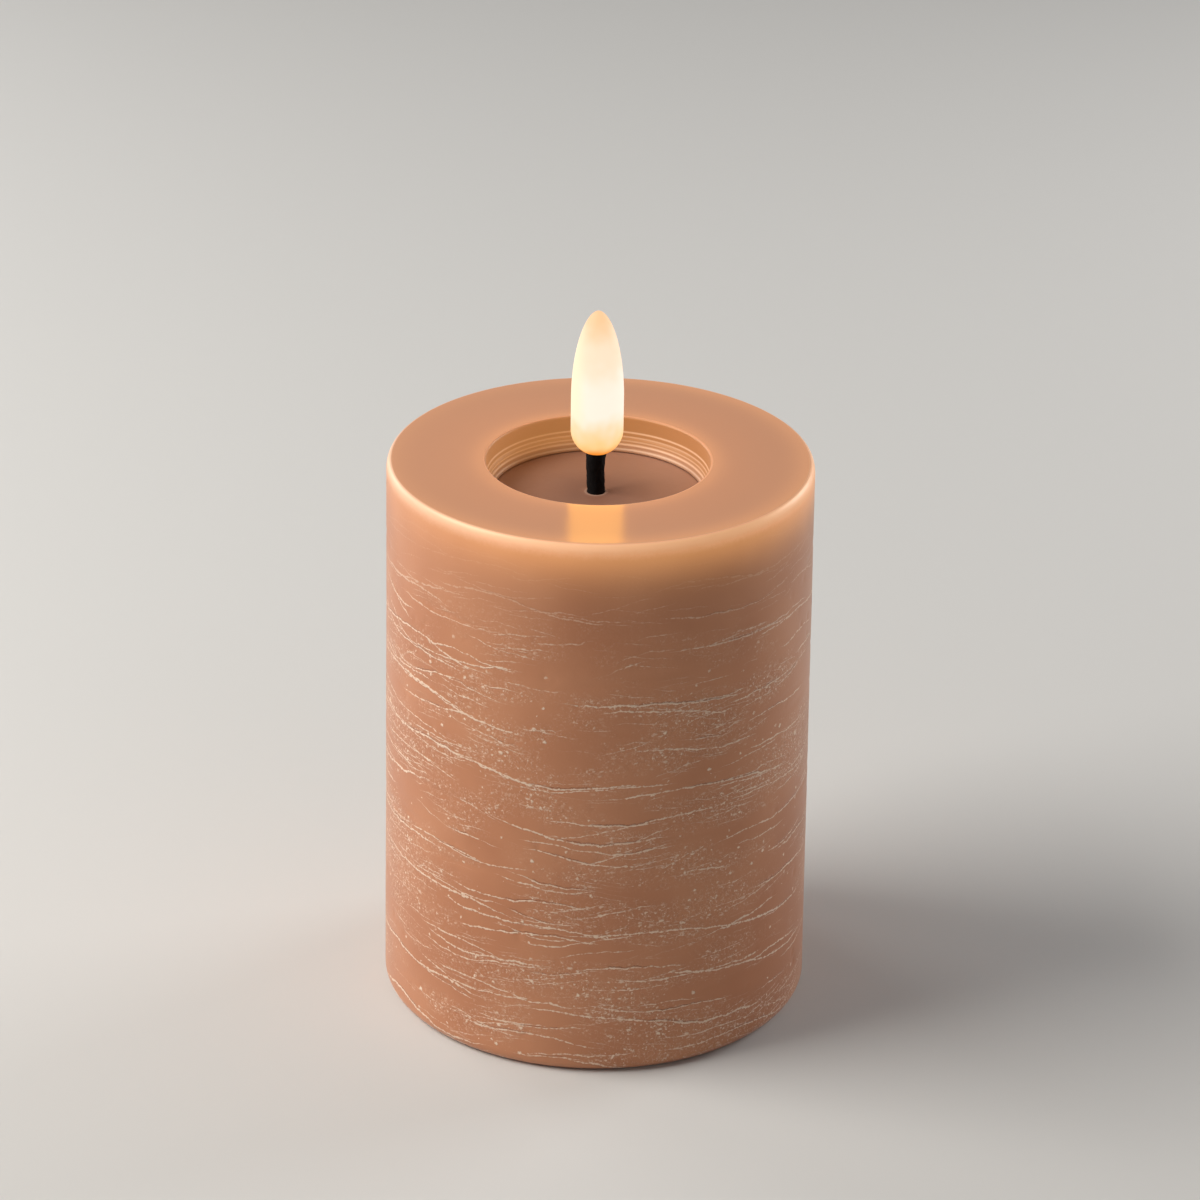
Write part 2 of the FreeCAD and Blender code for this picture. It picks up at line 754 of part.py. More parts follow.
def make_battery_door():
    """Hinged door under the cells: barrel and pins, ribs, catch and a finger notch."""
    body = new_body("battery_door")
    plate = new_sketch(body, "door_plate", "XY_Plane", door_under)
    barrel_reach = bay_half_width - s.barrel_end_gap
    wide = opening_width - s.door_gap
    far = opening_x - s.door_gap
    # this edge swings past the step beside the hinge, so it clears the step's lower corner
    near = hinge_x + longest_side(step_x - hinge_x + s.door_swing_gap, hinge_z - floor_under)
    corner = s.door_corner_radius - s.door_gap
    draw_outline(plate, [
        (hinge_x, -barrel_reach),
        (near, -barrel_reach),
        (near, -wide),
        (far - corner, -wide, corner, 1),
        (far, corner - wide),
        (far, wide - corner, corner, 1),
        (far - corner, wide),
        (near, wide),
        (near, barrel_reach),
        (hinge_x, barrel_reach),
    ])
    pad(body, plate, s.door_thickness)
    barrel = new_sketch(body, "door_barrel", "XZ_Plane")
    draw_circle(barrel, hinge_x, hinge_z, s.barrel_radius)
    pad(body, barrel, barrel_reach * 2, both_ways=True)
    pins = new_sketch(body, "door_pins", "XZ_Plane")
    draw_circle(pins, hinge_x, hinge_z, s.hinge_pin_radius)
    pad(body, pins, (barrel_reach + s.hinge_pin_length) * 2, both_ways=True)
    ribs = new_sketch(body, "door_ribs", "XY_Plane", door_under)
    half_rib = s.rib_thickness / 2
    rib_reach = bay_half_width - s.rib_thickness
    for side in (-1, 1):
        middle = s.rib_spacing * side / 2
        draw_rectangle(ribs, middle - half_rib, middle + half_rib, -rib_reach, rib_reach)
    pad(body, ribs, s.door_thickness + s.rib_height)
    spine = new_sketch(body, "door_spine", "XY_Plane", door_under)
    spine_reach = s.rib_spacing / 2 + s.spine_overhang
    draw_rectangle(spine, -spine_reach, spine_reach, -half_rib, half_rib)
    pad(body, spine, s.door_thickness + s.spine_height)
    catch = new_sketch(body, "door_catch", "XZ_Plane")
    face = bay_half_length - s.catch_gap - s.catch_nub
    back = face - s.catch_thickness
    root = door_top - s.catch_root
    tip = door_top + s.catch_height
    nub_high = tip - s.catch_nub_drop
    nub_low = nub_high - s.catch_nub_height
    draw_outline(catch, [
        (back, root),
        (face, root),
        (face, nub_low),
        (face + s.catch_nub, nub_low + s.catch_nub),
        (face + s.catch_nub, nub_high - s.catch_nub),
        (face, nub_high),
        (face, tip),
        (back, tip),
    ])
    pad(body, catch, s.catch_width, both_ways=True)
    notch = new_sketch(body, "door_notch", "XY_Plane", door_under)
    draw_circle(notch, opening_x - s.notch_lip, ZERO, s.notch_radius)
    pocket(body, notch, s.notch_depth)
    return body


def place_cell(item, side):
    """Side 1 has its positive end at +X, side -1 is turned end for end."""
    if side < 0:
        item.Placement = FreeCAD.Placement(
            FreeCAD.Vector(0, 0, 0), FreeCAD.Rotation(FreeCAD.Vector(0, 0, 1), 180))
    move(item, cell_shift * side, cell_pitch * side / 2, cell_height)


def make_cell_can(label, side):
    """Steel can of a round cell along X, with its raised positive end."""
    body = new_body(label)
    sketch = new_sketch(body, label + "_profile", "XY_Plane")
    radius = cell_radius - s.sleeve_thickness - s.sleeve_gap
    half = cell_length / 2
    edge = s.can_edge_radius
    face = half - s.nipple_length
    draw_outline(sketch, [
        (-half, ZERO),
        (half, ZERO),
        (half, s.nipple_radius),
        (face, s.nipple_radius),
        (face, radius - edge, edge, 1),
        (face - edge, radius),
        (edge - half, radius, edge, 1),
        (-half, radius - edge),
    ])
    revolve(body, sketch, "H_Axis")
    place_cell(body, side)
    return body


def make_cell_sleeve(label, side):
    """Plain printed sleeve shrunk round a cell."""
    body = new_body(label)
    sketch = new_sketch(body, label + "_profile", "XY_Plane")
    inner = cell_radius - s.sleeve_thickness
    low = s.sleeve_setback + s.can_edge_radius - cell_length / 2
    high = cell_length / 2 - s.nipple_length - s.sleeve_setback - s.can_edge_radius
    draw_rectangle(sketch, low, high, inner, cell_radius)
    revolve(body, sketch, "H_Axis")
    place_cell(body, side)
    return body


def make_contact(label, end, low_y, high_y, dimple_y=None, tab_y=None):
    """Stamped plate against the bay's end wall (end 1 is +X), with dimple and tab."""
    body = new_body(label)
    outside = bay_half_length * end
    inside = (bay_half_length - s.plate_thickness) * end
    plate = new_sketch(body, label + "_plate", "YZ_Plane", inside if end > 0 else outside)
    low_z = cell_height - plate_half
    high_z = cell_height + plate_half
    if tab_y is None:
        draw_rectangle(plate, low_y, high_y, low_z, high_z)
    else:
        half_tab = s.tab_width / 2
        draw_outline(plate, [
            (low_y, low_z), (high_y, low_z), (high_y, high_z), (tab_y + half_tab, high_z),
            (tab_y + half_tab, roof_top + s.tab_rise), (tab_y - half_tab, roof_top + s.tab_rise),
            (tab_y - half_tab, high_z), (low_y, high_z)])
    pad(body, plate, s.plate_thickness)
    if dimple_y is not None:
        tip = (bay_half_length - s.plate_thickness - s.dimple_depth) * end
        dimple = new_sketch(body, label + "_dimple", "YZ_Plane", tip if end > 0 else outside)
        draw_circle(dimple, dimple_y, cell_height, s.dimple_radius)
        pad(body, dimple, s.dimple_depth + s.plate_thickness)
    return body


def biarc(start, start_way, stop, stop_way):
    """Two arcs that leave start and reach stop along the given unit directions."""
    span = stop - start
    ways = start_way + stop_way
    bend = 2 * (1 - start_way.dot(stop_way))
    reach = (math.sqrt(span.dot(ways) ** 2 + bend * span.dot(span)) - span.dot(ways)) / bend
    meeting = (start + start_way * reach + stop - stop_way * reach) * 0.5
    return [arc_along(start, start_way, meeting), arc_along(stop, stop_way * -1, meeting)]


def arc_along(start, way, stop):
    """Arc from start towards stop that sets off along way."""
    chord = stop - start
    line = FreeCAD.Vector(chord).normalize()
    side = way - line * way.dot(line)
    angle = math.acos(max(-1, min(1, way.dot(line))))
    middle = start + chord * 0.5 + side.normalize() * (chord.Length / 2 * math.tan(angle / 2))
    return Part.Arc(start, middle, stop).toShape()


def make_spring(label, end, y_middle):
    """Conical contact spring along X, from the plate at one end to the cell."""
    wire = s.spring_wire_radius.amount
    gap = s.spring_seat_gap.amount
    base = bay_half_length.amount - s.plate_thickness.amount - wire - gap
    length = s.spring_length.amount - 2 * wire - 2 * gap
    wide, narrow = s.spring_base_radius.amount, s.spring_tip_radius.amount
    turns = s.spring_turns.amount
    steps = int(round(turns * SPRING_STEPS_PER_TURN))
    turn_step = 2 * math.pi * turns / steps

    def point_at(number):
        share = number / steps
        radius = wide + (narrow - wide) * share
        angle = turn_step * number
        return FreeCAD.Vector(-length * share, radius * math.cos(angle), radius * math.sin(angle))

    def way_at(number):
        share = number / steps
        radius = wide + (narrow - wide) * share
        angle = turn_step * number
        drift = (narrow - wide) / steps
        way = FreeCAD.Vector(-length / steps,
                             drift * math.cos(angle) - radius * turn_step * math.sin(angle),
                             drift * math.sin(angle) + radius * turn_step * math.cos(angle))
        return way.normalize()

    edges = []
    for number in range(steps):
        edges += biarc(point_at(number), way_at(number), point_at(number + 1), way_at(number + 1))
    path = Part.Wire(Part.__sortEdges__(edges))
    ring = Part.Wire([Part.Circle(point_at(0), way_at(0), wire).toShape()])
    coil = path.makePipeShell([ring], True, False)
    least = math.hypot(length / turns, (wide - narrow) / turns) - 2 * wire
    print("%s: least gap between turns %.2f mm" % (label, least))
    item = solid_feature(label, coil)
    turn = FreeCAD.Rotation(FreeCAD.Vector(0, 0, 1), 0 if end > 0 else 180)
    item.Placement = FreeCAD.Placement(FreeCAD.Vector(0, 0, 0), turn)
    move(item, as_size(base * end), y_middle, cell_height)
    return item


def make_circuit_board():
    """Small board over the switch, with clipped corners and two screw holes."""
    body = new_body("circuit_board")
    sheet = new_sketch(body, "board_outline", "XY_Plane", board_under)
    clip = s.board_corner
    draw_outline(sheet, [
        (-board_half, board_near), (board_half, board_near), (board_half, board_far - clip),
        (board_half - clip, board_far), (clip - board_half, board_far),
        (-board_half, board_far - clip)])
    pad(body, sheet, s.board_thickness)
    holes = new_sketch(body, "board_holes", "XY_Plane", board_under)
    for side in (-1, 1):
        draw_circle(holes, boss_x * side, boss_y, s.screw_radius + s.screw_clearance)
    pocket(body, holes, s.board_thickness + s.overrun)
    return body


def make_board_screws():
    """Two pan head screws that hold the board on its bosses."""
    screws = []
    for side, name in ((-1, "left"), (1, "right")):
        x = boss_x * side
        shank_low = board_top - s.screw_length
        shank = cylinder("screw_shank_" + name, s.screw_radius, s.screw_length,
                         x, boss_y, shank_low)
        head = cylinder("screw_head_" + name, s.screw_head_radius, s.screw_head_height,
                        x, boss_y, board_top)
        slots = []
        for number, (long_x, long_y) in enumerate(((1, 0), (0, 1))):
            half_x = (s.screw_slot_length * long_x + s.screw_slot_width * long_y) / 2
            half_y = (s.screw_slot_length * long_y + s.screw_slot_width * long_x) / 2
            slot_low = board_top + s.screw_head_height - s.screw_slot_depth
            slots.append(box(
                "screw_slot_%s_%d" % (name, number),
                (x - half_x, boss_y - half_y, slot_low),
                (x + half_x, boss_y + half_y, slot_low + s.screw_slot_depth + s.overrun)))
        blank = join("screw_blank_" + name, [shank, head])
        screws.append(cut("screw_" + name, blank, join("screw_cross_" + name, slots)))
    return group("board_screws", screws)


def mirrored_span(middle, near, far, side):
    """Two places at distances near and far from a middle towards one side, lowest first."""
    places = [middle + near * side, middle + far * side]
    return places if side > 0 else places[::-1]


def make_timer_chip():
    """Eight legged timer chip in the middle of the board."""
    half_x = s.chip_length / 2
    half_y = s.chip_width / 2
    low_z = board_top + s.chip_seat
    parts = [box("chip_case", (-half_x, board_middle - half_y, low_z),
                 (half_x, board_middle + half_y, low_z + s.chip_height))]
    half_leg = s.leg_width / 2
    knee_in = half_y + (s.leg_reach - s.leg_thickness) / 2
    knee_out = knee_in + s.leg_thickness
    leg_top = board_top + s.leg_height
    runs = (
        ("shoulder", half_y, knee_out, leg_top - s.leg_thickness, leg_top),
        ("shin", knee_in, knee_out, board_top, leg_top),
        ("foot", knee_in, half_y + s.leg_reach, board_top, board_top + s.leg_thickness),
    )
    for number in range(LEG_PAIRS):
        x = s.leg_pitch * (number - (LEG_PAIRS - 1) / 2)
        for side, row in ((-1, "near"), (1, "far")):
            for run, near, far, low, high in runs:
                low_y, high_y = mirrored_span(board_middle, near, far, side)
                parts.append(box("chip_leg_%s_%d_%s" % (row, number, run),
                                 (x - half_leg, low_y, low), (x + half_leg, high_y, high)))
    return join("timer_chip", parts)


def make_timer_crystal():
    """Watch crystal in a round can, lying on the board on two bent leads."""
    middle_x = s.chip_length / 2 + s.crystal_setback + s.crystal_radius
    foot_y = board_near + s.crystal_edge
    low_y = foot_y + s.crystal_lead
    can = cylinder("crystal_can", s.crystal_radius, s.crystal_length)
    can.Placement = FreeCAD.Placement(
        FreeCAD.Vector(0, 0, 0), FreeCAD.Rotation(FreeCAD.Vector(1, 0, 0), -90))
    move(can, middle_x, low_y, board_top + s.crystal_radius)
    parts = [can]
    top = board_top + s.crystal_radius + s.lead_width / 2
    for side, name in ((-1, "left"), (1, "right")):
        lead_x = middle_x + s.crystal_radius * side / 2 - s.lead_width / 2
        parts.append(box("crystal_lead_" + name, (lead_x, foot_y, top - s.lead_width),
                         (lead_x + s.lead_width, low_y + s.lead_width, top)))
        parts.append(box("crystal_leg_" + name, (lead_x, foot_y, board_top),
                         (lead_x + s.lead_width, foot_y + s.lead_width, top)))
    return join("timer_crystal", parts)


def make_board_resistors():
    """Row of small chip resistors beside the timer chip."""
    chips = []
    x = s.chip_length / 2 + s.leg_pitch
    for number in range(RESISTORS):
        y = board_near + s.resistor_width / 2 + s.resistor_pitch * number
        chips.append(box("resistor_%d" % number, (x, y, board_top),
                         (x + s.resistor_length, y + s.resistor_width,
                          board_top + s.resistor_height)))
    return group("board_resistors", chips)


def make_board_capacitor():
    """Round surface capacitor on its square foot."""
    x = -(s.chip_length / 2 + s.leg_reach + s.capacitor_base / 2)
    y = board_near + s.capacitor_base / 2 + s.leg_width
    half = s.capacitor_base / 2
    foot = box("capacitor_foot", (x - half, y - half, board_top),
               (x + half, y + half, board_top + s.capacitor_base_height))
    can = cylinder("capacitor_can", s.capacitor_radius, s.capacitor_height, x, y, board_top)
    return join("board_capacitor", [foot, can])


def make_switch_frame():
    """Bent metal frame of the slide switch, open at the board and slotted below."""
    body = new_body("switch_frame")
    half_x = s.switch_length / 2
    half_y = s.switch_width / 2
    block = new_sketch(body, "frame_block", "XY_Plane", switch_bottom)
    draw_rectangle(block, -half_x, half_x, switch_y - half_y, switch_y + half_y)
    pad(body, block, s.switch_height)
    room = new_sketch(body, "frame_room", "XY_Plane", switch_bottom + s.switch_wall)
    in_x = half_x - s.switch_wall
    in_y = half_y - s.switch_wall
    draw_rectangle(room, -in_x, in_x, switch_y - in_y, switch_y + in_y)
    pocket(body, room, s.switch_height)
    slot = new_sketch(body, "frame_slot", "XY_Plane", switch_bottom - s.overrun)
    slot_x = (s.knob_length + s.switch_travel) / 2 + s.knob_gap
    slot_y = s.knob_width / 2 + s.knob_gap / 2
    draw_rectangle(slot, -slot_x, slot_x, switch_y - slot_y, switch_y + slot_y)
    pocket(body, slot, s.overrun + s.switch_wall * 2)
    return body


def make_switch_base():
    """Insulating block that closes the switch at the board and carries its contacts."""
    half_x = s.switch_length / 2 - s.switch_wall - s.switch_base_gap
    half_y = s.switch_width / 2 - s.switch_wall - s.switch_base_gap
    return box("switch_base", (-half_x, switch_y - half_y, board_under - s.switch_base_height),
               (half_x, switch_y + half_y, board_under))


def make_switch_slider():
    """Sliding carriage with a grooved knob that reaches down to the finger recess."""
    body = new_body("switch_slider")
    carriage = new_sketch(body, "slider_carriage", "XY_Plane", carriage_low)
    half_x = (s.switch_length - s.switch_travel) / 2 - s.switch_wall - s.carriage_end_gap
    half_y = s.switch_width / 2 - s.switch_wall - s.carriage_side_gap
    draw_rectangle(carriage, -half_x, half_x, -half_y, half_y)
    pad(body, carriage, carriage_top - carriage_low)
    knob_low = floor_under + s.knob_recess
    knob = new_sketch(body, "slider_knob", "XY_Plane", knob_low)
    knob_half_x = s.knob_length / 2
    knob_half_y = s.knob_width / 2
    draw_rectangle(knob, -knob_half_x, knob_half_x, -knob_half_y, knob_half_y)
    pad(body, knob, carriage_top - knob_low)
    groove = new_sketch(body, "knob_grooves", "XY_Plane", floor_under)
    for number in range(GROOVES):
        middle = s.knob_groove_pitch * (number - (GROOVES - 1) / 2)
        half_groove = s.knob_groove_width / 2
        reach = knob_half_y + s.overrun
        draw_rectangle(groove, middle - half_groove, middle + half_groove, -reach, reach)
    pocket(body, groove, s.knob_recess + s.knob_groove_depth)
    move(body, knob_x, switch_y)
    return body


def make_wire(label, points, radius):
    """Round wire along straight runs, joined by arcs as large as the runs allow."""
    spots = [FreeCAD.Vector(*[as_size(value).amount for value in point]) for point in points]
    edges = []
    at = spots[0]
    radii = []
    for before, spot, after in zip(spots, spots[1:], spots[2:]):
        into, out = spot - before, after - spot
        turn = into.getAngle(out)
        setback = BEND_share * min(into.Length, out.Length)
        arc_radius = setback / math.tan(turn / 2)
        into_way = FreeCAD.Vector(into).normalize()
        out_way = FreeCAD.Vector(out).normalize()
        leave, join_on = spot - into_way * setback, spot + out_way * setback
        edges.append(Part.LineSegment(at, leave).toShape())
        edges.append(arc_along(leave, into_way, join_on))
        radii.append(arc_radius)
        at = join_on
    edges.append(Part.LineSegment(at, spots[-1]).toShape())
    path = Part.Wire(edges)
    way = (spots[1] - spots[0]).normalize()
    ring = Part.Wire([Part.Circle(spots[0], way, radius.amount).toShape()])
    tube = path.makePipeShell([ring], True, False)
    ideal = math.pi * radius.amount ** 2 * path.Length
    if abs(tube.Volume / ideal - 1) > WIRE_VOLUME_share:
        raise RuntimeError("%s has the wrong volume" % label)
    print("%s: length %.1f mm, radii %s" % (label, path.Length, ["%.1f" % r for r in radii]))
    return solid_feature(label, tube)


def make_lamp_wire(label, side):
    """Fine wire from the board up through the hollow and the wick to the LED."""
    low = (s.lamp_wire_inset + s.lamp_wire_spread * (side + 1) / 2 - board_half,
           board_near + s.lamp_wire_edge, housing_top + s.lamp_wire_rise)
    high = (s.wick_offset + lamp_wire_pitch * side / 2, ZERO, holder_under - s.lamp_wire_drop)
    middle = [start + (stop - start) * share
              for start, stop, share in zip(low, high, LAMP_WIRE_MIDDLE_share)]
    points = [(low[0], low[1], board_top), low, middle, high, (high[0], high[1], head_top)]
    return make_wire(label, points, lamp_wire_radius)


def make_battery_wire(label, side, spot_x, leaving, arriving):
    """Wire from a contact's tab over the bay's roof and down to the board."""
    room = s.battery_wire_radius + s.solder_gap
    tab = (bay_half_length - s.plate_thickness - room, (cell_pitch - s.tab_width / 2) * side / 2)
    spot = (as_size(spot_x), board_near + s.battery_wire_edge)
    points = [(tab[0], tab[1], roof_top + room)]
    for start, route in ((tab, leaving), (spot, arriving)):
        points += [(start[0] + x, start[1] + y, roof_top + rise) for x, y, rise in route]
    points += [(spot[0], spot[1], board_top + s.battery_wire_rise), (spot[0], spot[1], board_top)]
    return make_wire(label, points, s.battery_wire_radius)


nodes = [
    make_wax_shell(),
    make_wax_pool(),
    make_flame_holder(),
    make_wick(),
    make_flame_shell(),
    make_led_board(),
    make_led_chip(),
    make_lamp_wire("lamp_wire_red", -1),
    make_lamp_wire("lamp_wire_black", 1),
    make_base_housing(),
    make_battery_door(),
    make_cell_can("cell_a_can", 1),
    make_cell_sleeve("cell_a_sleeve", 1),
    make_cell_can("cell_b_can", -1),
    make_cell_sleeve("cell_b_sleeve", -1),
    make_contact("link_plate", -1, -cell_y - plate_half, cell_y + plate_half, dimple_y=-cell_y),
    make_spring("link_spring", -1, cell_y),
    make_contact("positive_plate", 1, cell_y - plate_half, cell_y + plate_half,
                 dimple_y=cell_y, tab_y=cell_y),
    make_contact("negative_plate", 1, -cell_y - plate_half, plate_half - cell_y, tab_y=-cell_y),
    make_spring("negative_spring", 1, -cell_y),
    make_battery_wire("battery_wire_red", 1, RED_WIRE_SPOT, RED_WIRE_LEAVING, RED_WIRE_ARRIVING),
    make_battery_wire("battery_wire_black", -1, BLACK_WIRE_SPOT, BLACK_WIRE_LEAVING,
                      BLACK_WIRE_ARRIVING),
    make_circuit_board(),
    make_board_screws(),
    make_timer_chip(),
    make_timer_crystal(),
    make_board_resistors(),
    make_board_capacitor(),
    make_switch_frame(),
    make_switch_base(),
    make_switch_slider(),
]

doc.recompute()
for item in doc.Objects:
    if "Invalid" in item.State or "Error" in item.State:
        raise RuntimeError("%s failed: %s" % (item.Name, item.State))
for item in nodes:
    if item.Shape.isNull() or not item.Shape.isValid():
        raise RuntimeError("%s has no valid shape" % item.Label)

os.makedirs("parts", exist_ok=True)
for item in nodes:
    item.Shape.exportStep("parts/%s.step" % item.Label)
    size = item.Shape.BoundBox
    print("%-20s solids %d volume %9.1f  x %.2f..%.2f y %.2f..%.2f z %.2f..%.2f" % (
        item.Label, len(item.Shape.Solids), item.Shape.Volume, size.XMin, size.XMax,
        size.YMin, size.YMax, size.ZMin, size.ZMax))
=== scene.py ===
import math

import bpy
import numpy as np
from mathutils import Matrix, Vector, noise


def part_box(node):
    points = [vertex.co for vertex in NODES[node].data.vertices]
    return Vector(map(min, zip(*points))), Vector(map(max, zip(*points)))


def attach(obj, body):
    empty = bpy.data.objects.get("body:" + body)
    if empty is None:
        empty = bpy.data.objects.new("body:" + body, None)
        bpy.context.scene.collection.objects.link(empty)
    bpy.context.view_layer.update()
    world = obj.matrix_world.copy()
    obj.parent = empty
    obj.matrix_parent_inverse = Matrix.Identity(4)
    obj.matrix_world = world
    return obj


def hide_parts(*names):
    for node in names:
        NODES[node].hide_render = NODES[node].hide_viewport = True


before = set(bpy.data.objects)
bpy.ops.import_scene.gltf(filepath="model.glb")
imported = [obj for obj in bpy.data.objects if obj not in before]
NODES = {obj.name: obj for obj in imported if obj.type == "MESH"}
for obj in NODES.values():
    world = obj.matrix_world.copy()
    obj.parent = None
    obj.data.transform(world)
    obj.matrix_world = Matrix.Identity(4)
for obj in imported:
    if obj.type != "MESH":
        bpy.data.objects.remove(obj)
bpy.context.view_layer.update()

# Units and sizes, in metres unless a name says otherwise

MM = 0.001
FULL_TURN = 2 * math.pi
SEED = 7

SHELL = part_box("wax_shell")
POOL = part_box("wax_pool")
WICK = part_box("wick")
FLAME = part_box("flame_shell")
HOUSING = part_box("base_housing")
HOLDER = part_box("flame_holder")

BODY_HEIGHT = SHELL[1].z
BASE_RADIUS = SHELL[1].x
TOP_RADIUS = BASE_RADIUS - 0.75 * MM
BASE_EDGE = 2.3 * MM
TOP_EDGE = (1.0 * MM, 2.0 * MM)
WELL_RIM_RADIUS = 19.45 * MM
# How far the well's middle stands from the candle's, across and along
WELL_SHIFT = (-0.45 * MM, -0.7 * MM)
WELL_EDGE = 0.4 * MM
WELL_MOUTH = WELL_RIM_RADIUS + WELL_EDGE
WELL_FLOOR_RADIUS = POOL[1].x + 0.1 * MM
WELL_FLOOR = POOL[1].z - 0.6 * MM
# Well's wall: height above the floor and how far it stands in from the rim, in mm
WELL_STEPS = (
    (6.0, 0.0), (3.6, 0.05), (3.3, 0.2), (2.5, 0.28), (2.2, 0.48),
    (1.5, 0.58), (1.2, 0.8), (0.7, 0.9), (0.4, 1.15), (0.0, 1.3),
)
# Heights of the wall's pale lines above the floor, in mm; they are partly painted highlights on its
# ledges
WELL_RINGS = (3.45, 2.65, 1.95, 1.3, 0.5)
WELL_ROWS = 90
POOL_SEAT = POOL[0].z
WEB_UNDERSIDE = POOL_SEAT - 5.0 * MM
HOLLOW_TOP_RADIUS = TOP_RADIUS - 8.65 * MM
HOLLOW_BASE_RADIUS = BASE_RADIUS - 7.9 * MM
HOLLOW_CORNER = 4.0 * MM
HOUSING_TOP = HOUSING[1].z
BORE_RADIUS = HOUSING[1].x + 0.3 * MM
WICK_AXIS = (HOLDER[0].x + HOLDER[1].x) / 2
WEB_HOLE_RADIUS = 3.2 * MM
# Past this radius the flat top isn't moved with the well
FLAT_RADIUS = 30.0 * MM

WICK_RADIUS = 1.6 * MM
WICK_HEAD_RADIUS = 2.2 * MM
WICK_HEAD_HEIGHT = 1.2 * MM
WICK_BORE_RADIUS = 1.05 * MM

FLAME_RADIUS = (FLAME[1].x - FLAME[0].x) / 2
FLAME_WALL = 1.0 * MM
FLAME_NOSE = 15.9 * MM
FLAME_STRAIGHT = 6.0 * MM
FLAME_TOP = FLAME[1].z
# 1 is half an ellipse, more is more pointed
FLAME_POINT = 1.1


# Meshes

def add_mesh(name, points, faces, body, material):
    """A mesh object that rides on a body and takes one material."""
    mesh = bpy.data.meshes.new(name)
    mesh.from_pydata([tuple(point) for point in points], [], faces)
    mesh.validate()
    mesh.update()
    mesh.polygons.foreach_set("use_smooth", [True] * len(mesh.polygons))
    thing = bpy.data.objects.new(name, mesh)
    bpy.context.scene.collection.objects.link(thing)
    mesh.materials.append(material)
    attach(thing, body)
    return thing


def line(start, end, steps):
    """Points after start, up to and with end, of a straight stretch of a profile."""
    return [
        (
            start[0] + (end[0] - start[0]) * step / steps,
            start[1] + (end[1] - start[1]) * step / steps,
        )
        for step in range(1, steps + 1)
    ]


def arc(centre, radius, start, end, steps):
    """Points of an arc between two angles in degrees, with both of its ends."""
    return [
        (
            centre[0] + radius * math.cos(math.radians(start + (end - start) * step / steps)),
            centre[1] + radius * math.sin(math.radians(start + (end - start) * step / steps)),
        )
        for step in range(steps + 1)
    ]


def ring_faces(rows, segments, closed):
    """Quads between neighbouring rings, and from the last back to the first if closed."""
    faces = []
    for row in range(rows if closed else rows - 1):
        upper = ((row + 1) % rows) * segments
        lower = row * segments
        for step in range(segments):
            following = (step + 1) % segments
            faces.append((lower + step, lower + following, upper + following, upper + step))
    return faces


def revolved(profile, segments, centre=(0.0, 0.0), relief=None):
    """Points of a turned form. relief(angles, radii, heights) gives changed radii and heights."""
    angles = np.arange(segments) * FULL_TURN / segments
    radii = np.array([radius for radius, _ in profile])[:, None] + np.zeros(segments)
    heights = np.array([height for _, height in profile])[:, None] + np.zeros(segments)
    if relief:
        radii, heights = relief(angles[None, :], radii, heights)
    across = centre[0] + radii * np.cos(angles)
    along = centre[1] + radii * np.sin(angles)
    return np.stack([across, along, heights], axis=-1).reshape(-1, 3)


def wrapped(angle):
    """An angle, or an array of them, between minus and plus half a turn."""
    return (angle + math.pi) % FULL_TURN - math.pi


# Node trees

